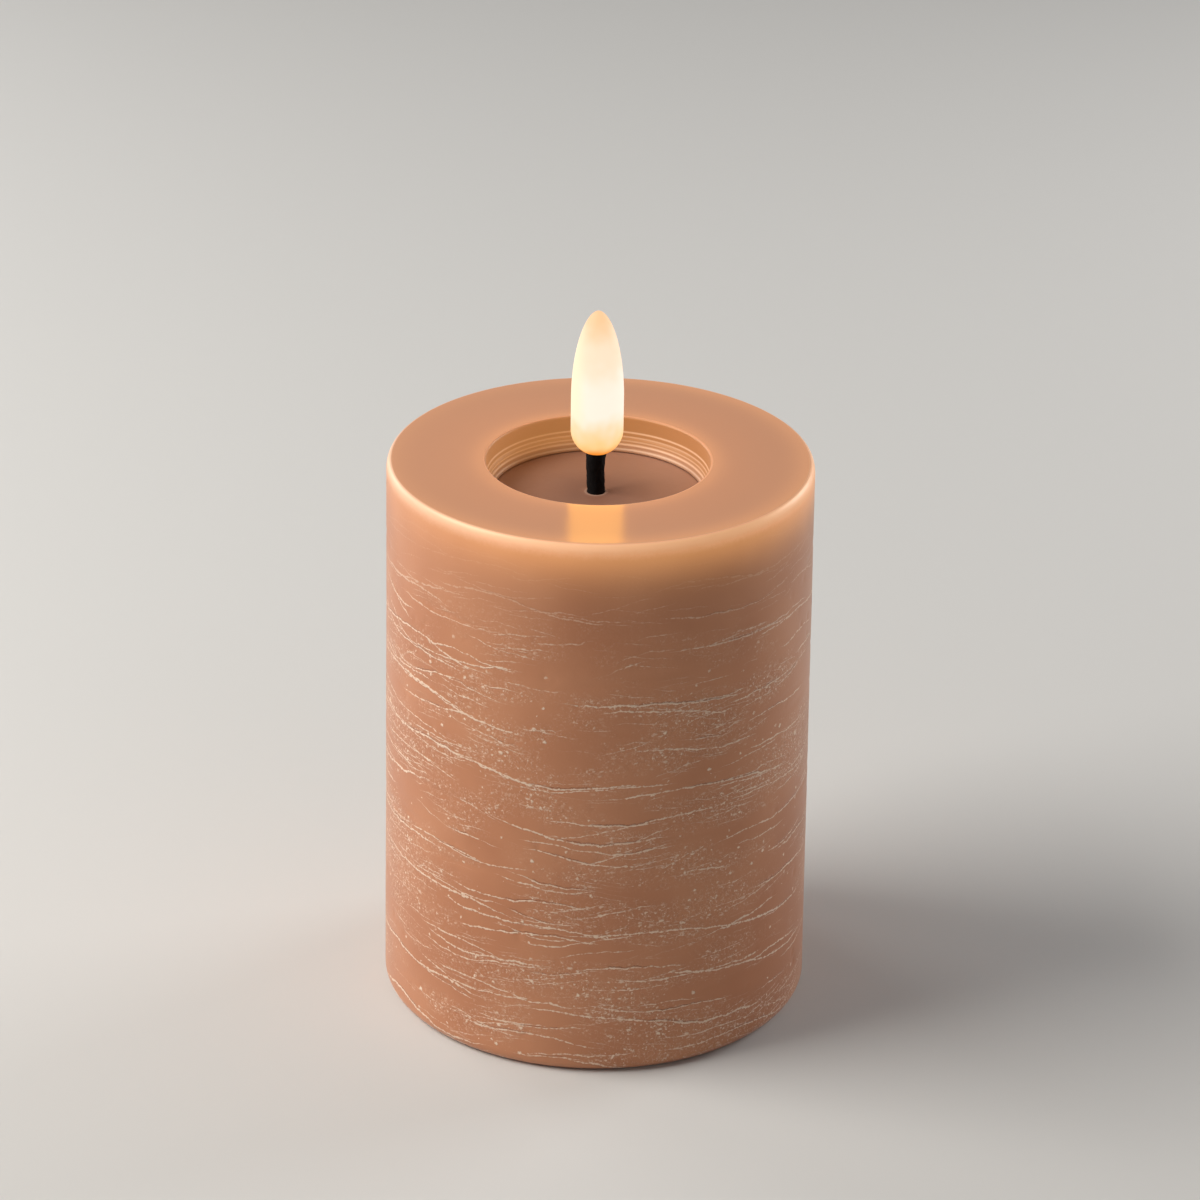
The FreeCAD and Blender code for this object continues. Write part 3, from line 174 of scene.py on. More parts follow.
class Graph:
    """A material with one Principled shader, and short calls that build its node tree."""

    def __init__(self, name, colour, roughness, metallic=0.0, **sockets):
        self.material = bpy.data.materials.new(name)
        self.material.use_nodes = True
        self.tree = self.material.node_tree
        self.shader = self.tree.nodes["Principled BSDF"]
        self.set("Base Color", (*colour, 1.0))
        self.set("Roughness", roughness)
        self.set("Metallic", metallic)
        for socket, value in sockets.items():
            self.set(socket.replace("_", " "), value)

    def set(self, socket, value):
        """Sets or links one of the shader's sockets."""
        self.feed(self.shader.inputs[socket], value)

    def feed(self, target, value):
        """Links a socket to another, or gives it a plain value."""
        if isinstance(value, bpy.types.NodeSocket):
            self.tree.links.new(value, target)
        elif value is not None:
            target.default_value = value

    def node(self, kind, **settings):
        """A new node with some of its settings."""
        made = self.tree.nodes.new(kind)
        for setting, value in settings.items():
            setattr(made, setting, value)
        return made

    def place(self):
        """The object's own coordinates in millimetres."""
        source = self.node("ShaderNodeTexCoord").outputs["Object"]
        scaled = self.node("ShaderNodeVectorMath", operation="SCALE")
        self.feed(scaled.inputs[0], source)
        scaled.inputs["Scale"].default_value = 1 / MM
        return scaled.outputs[0]

    def stretch(self, vector, scales, shift=(0.0, 0.0, 0.0)):
        """A vector times one scale per axis, and then shifted."""
        made = self.node("ShaderNodeVectorMath", operation="MULTIPLY_ADD")
        self.feed(made.inputs[0], vector)
        made.inputs[1].default_value = scales
        made.inputs[2].default_value = shift
        return made.outputs[0]

    def dot(self, vector, direction):
        made = self.node("ShaderNodeVectorMath", operation="DOT_PRODUCT")
        self.feed(made.inputs[0], vector)
        made.inputs[1].default_value = direction
        return made.outputs["Value"]

    def math(self, operation, *values, clamp=False):
        made = self.node("ShaderNodeMath", operation=operation, use_clamp=clamp)
        for target, value in zip(made.inputs, values):
            self.feed(target, value)
        return made.outputs[0]

    def away(self, vector, shift=(0.0, 0.0)):
        """The distance from an upright axis, which the shift brings to the middle."""
        made = self.node("ShaderNodeVectorMath", operation="LENGTH")
        self.feed(made.inputs[0], self.stretch(vector, (1, 1, 0), (*shift, 0.0)))
        return made.outputs["Value"]

    def noise(self, vector, scale, detail=2.0, roughness=0.5):
        """Noise from 0 to 1."""
        made = self.node("ShaderNodeTexNoise")
        self.feed(made.inputs["Vector"], vector)
        made.inputs["Scale"].default_value = scale
        made.inputs["Detail"].default_value = detail
        made.inputs["Roughness"].default_value = roughness
        return made.outputs["Fac"]

    def cells(self, vector, scale):
        """Voronoi cells: the distance from a cell's point, and two random numbers per cell."""
        made = self.node("ShaderNodeTexVoronoi")
        self.feed(made.inputs["Vector"], vector)
        made.inputs["Scale"].default_value = scale
        parts = self.node("ShaderNodeSeparateColor")
        self.feed(parts.inputs[0], made.outputs["Color"])
        return made.outputs["Distance"], parts.outputs[0], parts.outputs[1]

    def step(self, value, low, high, start=0.0, end=1.0):
        """A smooth step from start at low to end at high."""
        made = self.node("ShaderNodeMapRange", interpolation_type="SMOOTHSTEP")
        for target, given in zip(made.inputs, (value, low, high, start, end)):
            self.feed(target, given)
        return made.outputs[0]

    def blend(self, factor, first, second, mode="MIX"):
        """A mix of two colours."""
        made = self.node("ShaderNodeMix", data_type="RGBA", blend_type=mode)
        self.feed(made.inputs[0], factor)
        for target, colour in ((made.inputs[6], first), (made.inputs[7], second)):
            self.feed(target, (*colour, 1.0) if isinstance(colour, tuple) else colour)
        return made.outputs[2]

    def bump(self, height, depth, strength=1.0, under=None):
        """A normal from a height of 0 to 1 that stands for a depth in metres."""
        made = self.node("ShaderNodeBump")
        made.inputs["Strength"].default_value = strength
        made.inputs["Distance"].default_value = depth
        self.feed(made.inputs["Height"], height)
        if under:
            self.feed(made.inputs["Normal"], under)
        return made.outputs[0]


def hue(red, green, blue):
    """A linear colour from the sRGB values 0 to 255 of a picture."""
    def straight(value):
        share = value / 255
        return share / 12.92 if share <= 0.04045 else ((share + 0.055) / 1.055) ** 2.4

    return straight(red), straight(green), straight(blue)


# Wax of the pillar

WAX = hue(213, 155, 120)
WAX_SIDE = hue(195, 132, 97)
WAX_SIDE_DARK = hue(184, 120, 86)
WAX_PALE = hue(240, 218, 196)
# Painted shade in the grooves along the top of some streaks
WAX_GROOVE_SHADE = hue(132, 66, 38)
WAX_SHADE = hue(160, 98, 68)
# The well's wall, painted darker than the wax as shade in the well, which the painted glow then
# lights
WELL_WALL_SHADE = hue(124, 80, 54)
WELL_FOOT = hue(158, 118, 98)
# The lamp's light through the wax's edges, painted as glow: its colour and that of the pale painted
# highlight on the top's edge, and at the outer edge and the well's rim its strength and how far it
# reaches down and across in mm
GLOW = (1.0, 0.44, 0.14)
EDGE_HIGHLIGHT_GLOW = (1.0, 0.85, 0.75)
OUTER_GLOW = (0.43, 6.0, 3.4)
RIM_GLOW = (0.11, 2.4, 2.6)
WALL_GLOW = 0.29
# Roughness of the top, and what the side and the well's wall add to it
TOP_ROUGHNESS = 0.17
SIDE_ROUGHER = 0.24
WELL_ROUGHER = 0.33
# Where the top's edge starts to turn pale, partly worn by rubbing and partly a painted highlight,
# in mm from the middle, and how pale and how brightly lit its painted highlight is
HIGHLIT_EDGE_RADIUS = TOP_RADIUS / MM - 1.2
HIGHLIT_EDGE_BLEND = 0.27
HIGHLIT_EDGE_GLOW = 0.04
# Distances from the middle, in mm, between which the top turns into the side
SIDE_RANGE = (33.0, 34.0)
# Heights, in mm, between which the specks and the streaks come in
WORN_RANGE = (92.0, 66.0)
LINED_RANGE = (100.0, 72.0)
# Noise between which specks, and fine bundles of streaks, come in
CROWD_RANGE = (0.43, 0.62)
BUNDLE_RANGE = (0.42, 0.53)
RING_STRENGTH = 0.35
# Specks: cells per mm, largest radius in mm, share of the cells left bare
DOTS = (1.8, 0.25, 0.45)
FLAKES = (0.95, 0.36, 0.66)
CRUMBS = (0.5, 0.38, 0.54)
# Streaks: spacing mm, tilt across and along, half width mm, share kept, waves round, seed
STREAKS = (
    (7.5, (0.05, -0.04), 0.16, 0.56, (2, 5), 3),
    (5.5, (0.02, 0.02), 0.13, 0.46, (3, 7), 11),
    (9.0, (0.09, 0.05), 0.18, 0.60, (1, 4), 23),
    (6.2, (0.03, 0.08), 0.14, 0.52, (3, 5), 31),
    (3.4, (0.05, -0.10), 0.11, 0.30, (4, 7), 47),
)
BUNDLES = (
    (1.15, (-0.16, -0.04), 0.10, 0.30, (5, 9), 59),
    (0.95, (0.09, 0.10), 0.08, 0.30, (4, 11), 71),
)
STREAK_DRIFT = 9.0
STREAK_WOBBLE = 0.95
STREAK_SOFTNESS = 0.10
GROOVE_RISE = 0.22


def channels(graph, vector, scale, detail):
    """A coloured noise, whole and as its three channels."""
    made = graph.node("ShaderNodeTexNoise")
    graph.feed(made.inputs["Vector"], vector)
    made.inputs["Scale"].default_value = scale
    made.inputs["Detail"].default_value = detail
    parts = graph.node("ShaderNodeSeparateColor")
    graph.feed(parts.inputs[0], made.outputs["Color"])
    return made.outputs["Color"], list(parts.outputs)


def streaks(graph, place, turn, fields, spacing, tilt, half_width, share, waves, seed):
    """Pale lines round the candle that waver, tilt and break off, some with painted groove shade on
    top.
    """
    drift, wobble, beads = fields
    height = graph.math("MULTIPLY_ADD", drift, STREAK_DRIFT, graph.dot(place, (*tilt, 1.0)))
    height = graph.math("MULTIPLY_ADD", wobble, STREAK_WOBBLE, height)
    rows = graph.math("DIVIDE", height, spacing)
    row = graph.math("FLOOR", rows)
    off_line = graph.math("MULTIPLY_ADD", graph.math("FRACT", rows), spacing, -spacing / 2)
    chance = graph.node("ShaderNodeTexWhiteNoise", noise_dimensions="1D")
    graph.feed(chance.inputs["W"], graph.math("ADD", row, seed + 0.5))
    phases = graph.node("ShaderNodeSeparateColor")
    graph.feed(phases.inputs[0], chance.outputs["Color"])
    waving = []
    for count, phase in zip(waves, phases.outputs):
        start = graph.math("MULTIPLY", phase, FULL_TURN)
        waving.append(graph.math("SINE", graph.math("MULTIPLY_ADD", turn, float(count), start)))
    run = graph.math("ADD", waving[0], waving[1])
    limit = 2.0 - 3.2 * share
    lasting = graph.step(run, limit - 0.35, limit + 0.45)
    width = graph.math("MULTIPLY", graph.math("MULTIPLY", lasting, beads), half_width)
    pale = graph.math("SUBTRACT", width, graph.math("ABSOLUTE", off_line))
    pale = graph.math("DIVIDE", pale, STREAK_SOFTNESS, clamp=True)
    # A band just above some lines: a groove for the bump, and its painted shade
    above = graph.math("ABSOLUTE", graph.math("SUBTRACT", off_line, GROOVE_RISE))
    short = graph.step(graph.math("MULTIPLY", waving[1], phases.outputs[2]), 0.55, 0.75)
    shaded_grooves = graph.math("SUBTRACT", graph.math("MULTIPLY", width, short), above)
    return pale, graph.math("DIVIDE", shaded_grooves, STREAK_SOFTNESS, clamp=True)


def specks(graph, place, given, gathered):
    """Small round specks in some of the cells, each of its own size."""
    scale, radius, bare = given
    distance, size, choice = graph.cells(place, scale)
    limit = graph.math("MULTIPLY", graph.math("MULTIPLY_ADD", size, 0.8, 0.35), radius * scale)
    room = graph.math("SUBTRACT", limit, distance)
    inside = graph.math("DIVIDE", room, graph.math("MULTIPLY", limit, 0.5), clamp=True)
    chosen = graph.step(choice, bare, bare + 0.02)
    return graph.math("MULTIPLY", graph.math("MULTIPLY", inside, chosen), gathered, clamp=True)


def strongest(graph, values):
    """The largest of several values."""
    total = values[0]
    for value in values[1:]:
        total = graph.math("MAXIMUM", total, value)
    return total


def glow(graph, distance, height, radius, reach):
    """Light that leaks out near the ring where the top meets a wall of that radius."""
    strength, down, across = reach
    below = graph.math("DIVIDE", graph.math("SUBTRACT", height, BODY_HEIGHT / MM), down)
    beside = graph.math("DIVIDE", graph.math("SUBTRACT", distance, radius / MM), across)
    away = graph.math("MULTIPLY_ADD", below, below, graph.math("MULTIPLY", beside, beside))
    return graph.math("MULTIPLY", graph.math("POWER", math.exp(-1), away), strength)


def in_well(graph, distance):
    """1 on the well's wall and inside the candle, 0 on its top and side."""
    rim = WELL_RIM_RADIUS / MM
    return graph.step(distance, rim + 0.25, rim)


def ringed_well(graph, colour, distance, height):
    """Wall of the well painted darker as shade, pale ring lines partly painted highlight, greyer foot
    by the floor.
    """
    inside = in_well(graph, distance)
    above = graph.math("SUBTRACT", height, WELL_FLOOR / MM)
    # Painted shade: the well's wall darker than the wax
    colour = graph.blend(inside, colour, WELL_WALL_SHADE)
    foot = graph.math("MULTIPLY", graph.step(above, 2.1, 1.2, 0.0, 0.85), inside)
    colour = graph.blend(foot, colour, WELL_FOOT)
    rings = []
    for ring in WELL_RINGS:
        apart = graph.math("ABSOLUTE", graph.math("SUBTRACT", above, ring))
        rings.append(graph.step(apart, 0.05, 0.22, 1.0, 0.0))
    # Pale ring lines: partly the wax's own marks, partly painted highlight on the ledges
    shown = graph.math("MULTIPLY", graph.math("MULTIPLY", strongest(graph, rings), inside), 0.35)
    return graph.blend(shown, colour, WAX_PALE)


def wax_frost(graph, place, turn, noises, worn, lined):
    """Pale marks of the side, grooves by some of them with their painted shade, and where they
    gather.
    """
    drift, wobble, ragged, grit = noises
    uneven = graph.node("ShaderNodeVectorMath", operation="MULTIPLY_ADD")
    graph.feed(uneven.inputs[0], ragged)
    uneven.inputs[1].default_value = (0.9, 0.9, 0.7)
    graph.feed(uneven.inputs[2], place)
    uneven = uneven.outputs[0]
    beads = [graph.math("MULTIPLY_ADD", one, 4.0, -1.0) for one in grit]
    pale = []
    shaded_grooves = []
    for index, given in enumerate(STREAKS + BUNDLES):
        fields = (drift[index % 3], wobble[(index + 1) % 3], beads[(index + index // 3) % 3])
        line_mask, shaded_groove_mask = streaks(graph, place, turn, fields, *given)
        pale.append(line_mask)
        shaded_grooves.append(shaded_groove_mask)
    count = len(STREAKS)
    crowd = graph.noise(graph.stretch(place, (0.7, 0.7, 2.0)), 0.055, 3.0, 0.6)
    gathered = graph.math("MULTIPLY", graph.step(crowd, *CROWD_RANGE), worn)
    bundles = graph.math("MULTIPLY", strongest(graph, pale[count:]), graph.step(crowd, *BUNDLE_RANGE))
    lines = graph.math("MAXIMUM", strongest(graph, pale[:count]), bundles)
    lines = graph.math("MULTIPLY", lines, lined)
    grooves = graph.math("MULTIPLY", strongest(graph, shaded_grooves[:count]), lined)

    squiggle = graph.math("SUBTRACT", graph.noise(place, 1.15, 2.0, 0.5), 0.5)
    rings = graph.step(graph.math("ABSOLUTE", squiggle), 0.018, 0.045, 1.0, 0.0)
    rings = graph.math("MULTIPLY", rings, gathered)
    rings = graph.math("MULTIPLY", rings, graph.step(grit[0], 0.42, 0.55))
    rings = graph.math("MULTIPLY", rings, RING_STRENGTH)
    dots = specks(graph, uneven, DOTS, gathered)
    flakes = specks(graph, graph.stretch(uneven, (0.6, 0.6, 1.3)), FLAKES, gathered)
    crumbs = specks(graph, graph.stretch(uneven, (1, 1, 1), (4.0, 9.0, 2.0)), CRUMBS, worn)
    frost = graph.math("MULTIPLY", strongest(graph, [lines, rings, dots, flakes]), 0.82)
    frost = graph.math("MAXIMUM", frost, graph.math("MULTIPLY", crumbs, 0.95))
    return frost, grooves, gathered


def wax_glow(graph, place, distance, from_well, height):
    """Lamp light that leaks out at the top's edge, the well's rim and its wall."""
    top_edge = BODY_HEIGHT / MM
    edge = glow(graph, distance, height, TOP_RADIUS, OUTER_GLOW)
    on_top = graph.step(height, top_edge + 0.02, top_edge - 0.15, 0.33, 1.0)
    edge = graph.math("MULTIPLY", edge, on_top)
    rim = glow(graph, from_well, height, WELL_RIM_RADIUS, RIM_GLOW)
    above = graph.math("SUBTRACT", height, WELL_FLOOR / MM)
    wall = graph.step(above, -0.2, 2.4, 0.04, WALL_GLOW)
    wall = graph.math("MULTIPLY", in_well(graph, from_well), wall)
    rim = graph.math("MAXIMUM", rim, wall)
    # Painted glow made weaker towards the left, where the key lamp lights the wax
    weaker_on_lit_side = graph.step(graph.dot(place, (0.95, -0.3, 0.0)), -30.0, 5.0, 0.4, 1.0)
    leaking = graph.math("ADD", graph.math("MULTIPLY", edge, weaker_on_lit_side), rim)
    return graph.blend(leaking, (0.0, 0.0, 0.0), GLOW)


def wax_material():
    """Apricot wax: smooth and glossy on top, streaked, pitted and crumbly down the side."""
    graph = Graph("wax", WAX, 0.38, IOR=1.7, Sheen_Weight=0.18, Sheen_Roughness=0.3)
    graph.set("Specular Tint", (1.0, 0.74, 0.54, 1.0))
    place = graph.place()
    parts = graph.node("ShaderNodeSeparateXYZ")
    graph.feed(parts.inputs[0], place)
    across, along, height = parts.outputs
    turn = graph.math("ARCTAN2", along, across)
    distance = graph.away(place)
    from_well = graph.away(place, (-WELL_SHIFT[0] / MM, -WELL_SHIFT[1] / MM))
    top_edge = BODY_HEIGHT / MM
    rim_start = WELL_MOUTH / MM
    outside = graph.step(distance, *SIDE_RANGE)
    on_side = graph.step(height, top_edge - 0.3, top_edge - 1.5)
    on_side = graph.math("MULTIPLY", outside, on_side)
    worn = graph.math("MULTIPLY", on_side, graph.step(height, *WORN_RANGE))
    lined = graph.math("MULTIPLY", on_side, graph.step(height, *LINED_RANGE))

    _, drift = channels(graph, place, 0.035, 1.0)
    _, wobble = channels(graph, place, 0.36, 1.5)
    ragged, grit = channels(graph, place, 1.9, 2.0)
    noises = (drift, wobble, ragged, grit)
    frost, grooves, gathered = wax_frost(graph, place, turn, noises, worn, lined)

    patches = graph.noise(place, 0.05, 2.0, 0.5)
    side = graph.blend(graph.step(patches, 0.3, 0.7), WAX_SIDE, WAX_SIDE_DARK)
    shaded = graph.math("MULTIPLY", gathered, 0.4)
    shaded = graph.math("MULTIPLY", graph.step(grit[1], 0.5, 0.75), shaded)
    side = graph.blend(shaded, side, WAX_SHADE)
    colour = graph.blend(on_side, WAX, side)
    # Painted shade in the grooves
    colour = graph.blend(graph.math("MULTIPLY", grooves, 0.5), colour, WAX_GROOVE_SHADE)
    colour = graph.blend(frost, colour, WAX_PALE)
    # Pale band at the top's edge: partly worn wax, partly a painted highlight on its rounding
    ragged_edge = graph.math("ADD", wobble[0], grit[2])
    ragged_edge = graph.math("MULTIPLY_ADD", ragged_edge, 0.6, height)
    rubbed_and_highlit = graph.step(ragged_edge, top_edge - 2.4, top_edge - 0.2)
    rubbed_and_highlit = graph.math("MULTIPLY", outside, rubbed_and_highlit)
    on_edge = graph.step(distance, HIGHLIT_EDGE_RADIUS, HIGHLIT_EDGE_RADIUS + 0.7)
    rubbed_and_highlit = graph.math("MULTIPLY", rubbed_and_highlit, on_edge)
    colour = graph.blend(graph.math("MULTIPLY", rubbed_and_highlit, HIGHLIT_EDGE_BLEND), colour, WAX_PALE)
    graph.set("Base Color", ringed_well(graph, colour, from_well, height))

    gloss = graph.math("MULTIPLY_ADD", on_side, SIDE_ROUGHER, TOP_ROUGHNESS)
    duller = graph.step(from_well, rim_start + 0.15, rim_start - 0.15, 0.0, WELL_ROUGHER)
    gloss = graph.math("ADD", gloss, duller)
    gloss = graph.math("MULTIPLY_ADD", rubbed_and_highlit, 0.25, gloss)
    graph.set("Roughness", graph.math("MULTIPLY_ADD", frost, 0.3, gloss))

    leaking = wax_glow(graph, place, distance, from_well, height)
    # Emission: the painted glow, and a pale painted highlight on the top's edge
    highlit_edge_glow = graph.math("MULTIPLY", rubbed_and_highlit, HIGHLIT_EDGE_GLOW)
    graph.set("Emission Color", graph.blend(highlit_edge_glow, leaking, EDGE_HIGHLIGHT_GLOW, "ADD"))
    graph.set("Emission Strength", 1.0)

    scratches = graph.noise(graph.stretch(place, (0.5, 2.5, 1.0)), 1.6, 3.0, 0.7)
    scratches = graph.math("MULTIPLY", scratches, graph.math("MULTIPLY_ADD", on_side, -0.5, 0.5))
    fine = graph.bump(graph.math("MULTIPLY_ADD", grit[2], on_side, scratches), 0.05 * MM, 0.4)
    relief = graph.math("MULTIPLY_ADD", graph.math("SUBTRACT", frost, grooves), 0.5, 0.5)
    graph.set("Normal", graph.bump(relief, 0.16 * MM, 0.8, under=fine))
    return graph.material


def pool_material():
    """Smooth wax floor, a little darker round the wick as painted shade, with a pale painted glint at
    its foot.
    """
    graph = Graph("wax_floor", hue(170, 118, 92), 0.36)
    place = graph.place()
    radius = graph.away(place, (-WICK_AXIS / MM, 0.0))
    cloud = graph.step(graph.noise(place, 0.3, 3.0, 0.6), 0.4, 0.7)
    # Painted shade round the wick
    colour = graph.blend(graph.step(radius, 1.5, 11.0), hue(146, 104, 84), hue(162, 121, 101))
    colour = graph.blend(graph.math("MULTIPLY", cloud, 0.2), colour, hue(152, 108, 86))
    # Painted glint: a pale ring on the lip at the wick's foot
    foot = graph.math("SUBTRACT", graph.step(radius, 1.5, 1.7), graph.step(radius, 1.9, 2.2))
    colour = graph.blend(graph.math("MULTIPLY", foot, 0.35), colour, hue(200, 172, 152))
    graph.set("Base Color", colour)
    graph.set("Normal", graph.bump(graph.noise(place, 1.5, 3.0, 0.6), 0.05 * MM, 0.3))
    return graph.material


FLAME_STRENGTH = 1.05


def lit(red, green, blue):
    """A glowing colour that shows as these sRGB values, with its red as strong as the lamp."""
    shown = hue(red, green, blue)
    return shown[0], shown[1] / FLAME_STRENGTH, shown[2] / FLAME_STRENGTH


def flame_material():
    """Lit silicone: amber low down, cream in the middle and peach at the tip."""
    graph = Graph("flame", hue(70, 62, 50), 0.6, Specular_IOR_Level=0.25)
    place = graph.place()
    height = graph.dot(place, (0.0, 0.0, 1.0))
    low = FLAME[0].z / MM
    top = FLAME_TOP / MM
    cloud = graph.math("MULTIPLY_ADD", graph.noise(place, 0.3, 1.0, 0.5), 5.0, -2.5)
    level = graph.math("ADD", height, cloud)
    colour = graph.blend(graph.step(level, low, low + 3.2), lit(250, 150, 50), lit(255, 210, 140))
    colour = graph.blend(graph.step(level, low + 2.2, low + 9.0), colour, lit(255, 244, 226))
    colour = graph.blend(graph.step(level, top - 14.0, top - 7.0), colour, lit(255, 230, 200))
    colour = graph.blend(graph.step(level, top - 7.0, top - 0.5), colour, lit(254, 206, 156))
    creamy = graph.step(graph.dot(place, (1.0, 0.0, 0.0)), -2.2, -4.8)
    creamy = graph.math("MULTIPLY", creamy, graph.step(level, low + 4.0, low + 9.0, 0.0, 0.75))
    colour = graph.blend(creamy, colour, lit(255, 246, 205))
    graph.set("Emission Color", colour)
    graph.set("Emission Strength", FLAME_STRENGTH)
    graph.set("Normal", graph.bump(graph.noise(place, 0.8, 2.0, 0.5), 0.04 * MM, 0.3))
    return graph.material


def wick_material():
    """Black braided wick, dull, with lighter fibres."""
    graph = Graph("wick_black", hue(10, 9, 10), 0.9, Specular_IOR_Level=0.2)
    place = graph.place()
    fibre = graph.noise(graph.stretch(place, (3.2, 3.2, 0.9)), 1.3, 3.0, 0.7)
    colour = graph.blend(graph.step(fibre, 0.45, 0.75), hue(2, 2, 3), hue(14, 12, 12))
    graph.set("Base Color", colour)
    graph.set("Normal", graph.bump(fibre, 0.25 * MM, 0.7))
    return graph.material


# Materials of the parts inside and below

def moulded(name, light, dark, roughness, scale=1.2, depth=0.03):
    """Moulded plastic with fine grain, faint flow marks and slightly uneven gloss."""
    graph = Graph(name, light, roughness)
    place = graph.place()
    flow = graph.noise(graph.stretch(place, (0.5, 1.0, 1.0)), 0.08, 3.0, 0.6)
    grain = graph.noise(place, scale * 3, 3.0, 0.65)
    colour = graph.blend(graph.step(flow, 0.35, 0.7), light, dark)
    colour = graph.blend(graph.math("MULTIPLY", graph.step(grain, 0.55, 0.8), 0.35), colour, dark)
    graph.set("Base Color", colour)
    graph.set("Roughness", graph.math("MULTIPLY_ADD", grain, 0.16, roughness - 0.08))
    graph.set("Normal", graph.bump(grain, depth * MM, 0.5))
    return graph.material


def metal(name, light, dark, roughness, drawn, scale=1.0):
    """Metal with lines drawn along one axis, tarnish and uneven polish."""
    graph = Graph(name, light, roughness, metallic=1.0)
    place = graph.place()
    lines = graph.noise(graph.stretch(place, drawn), scale * 6, 4.0, 0.7)
    tarnish = graph.noise(place, 0.35, 3.0, 0.6)
    colour = graph.blend(graph.step(tarnish, 0.4, 0.75), light, dark)
    graph.set("Base Color", graph.blend(graph.math("MULTIPLY", lines, 0.2), colour, dark))
    graph.set("Roughness", graph.math("MULTIPLY_ADD", lines, 0.22, roughness - 0.1))
    graph.set("Normal", graph.bump(lines, 0.02 * MM, 0.5))
    return graph.material


def sleeve_material(name, side):
    """Plain cell sleeve: dark blue, with a copper band at its positive end."""
    graph = Graph(name, hue(30, 44, 82), 0.25, Coat_Weight=0.6, Coat_Roughness=0.08)
    place = graph.place()
    along = graph.math("MULTIPLY", graph.dot(place, (1.0, 0.0, 0.0)), side)
    flakes = graph.noise(place, 5.0, 3.0, 0.7)
    blue = graph.blend(graph.step(flakes, 0.4, 0.7), hue(26, 38, 74), hue(40, 56, 98))
    copper = graph.blend(graph.step(flakes, 0.4, 0.7), hue(176, 108, 66), hue(198, 130, 84))
    colour = graph.blend(graph.step(along, 13.9, 14.1), blue, copper)
    line_end = graph.step(along, 13.55, 13.7)
    line_mask = graph.math("SUBTRACT", graph.step(along, 13.2, 13.35), line_end)
    graph.set("Base Color", graph.blend(line_mask, colour, hue(225, 225, 225)))
    graph.set("Normal", graph.bump(graph.noise(place, 0.9, 2.0, 0.5), 0.05 * MM, 0.4))
    return graph.material


def board_material():
    """Green solder mask with raised tracks and bare pads."""
    graph = Graph("board_green", hue(22, 92, 52), 0.3, Coat_Weight=0.4, Coat_Roughness=0.15)
    place = graph.place()
    brick = graph.node("ShaderNodeTexBrick")
    graph.feed(brick.inputs["Vector"], graph.stretch(place, (0.5, 0.5, 0.5)))
    brick.inputs["Scale"].default_value = 1.0
    brick.inputs["Mortar Size"].default_value = 0.06
    track = brick.outputs["Fac"]
    weave = graph.noise(graph.stretch(place, (3.0, 3.0, 3.0)), 1.0, 2.0, 0.5)
    green = graph.blend(graph.step(weave, 0.4, 0.7), hue(18, 82, 46), hue(26, 104, 60))
    colour = graph.blend(graph.math("MULTIPLY", track, 0.6), green, hue(48, 134, 78))
    graph.set("Base Color", colour)
    graph.set("Normal", graph.bump(track, 0.05 * MM, 0.6))
    return graph.material


def led_material():
    """White package with a lit yellow lens."""
    graph = Graph("led_white", hue(236, 232, 222), 0.35)
    place = graph.place()
    lens = graph.step(graph.away(place, (-WICK_AXIS / MM, 0.0)), 0.5, 0.55, 1.0, 0.0)
    grain = graph.noise(place, 6.0, 3.0, 0.6)
    body = graph.blend(graph.step(grain, 0.4, 0.7), hue(238, 234, 226), hue(222, 216, 204))
    graph.set("Base Color", graph.blend(lens, body, hue(250, 205, 70)))
    graph.set("Emission Color", graph.blend(lens, (0.0, 0.0, 0.0), hue(255, 210, 130)))
    graph.set("Emission Strength", 0.8)
    return graph.material


def insulation(name, light, dark):
    """Smooth wire insulation with faint rings and scuffs."""
    graph = Graph(name, light, 0.36)
    place = graph.place()
    scuffs = graph.noise(place, 3.5, 3.0, 0.6)
    graph.set("Base Color", graph.blend(graph.step(scuffs, 0.45, 0.75), light, dark))
    graph.set("Roughness", graph.math("MULTIPLY_ADD", scuffs, 0.25, 0.25))
    graph.set("Normal", graph.bump(scuffs, 0.04 * MM, 0.4))
    return graph.material


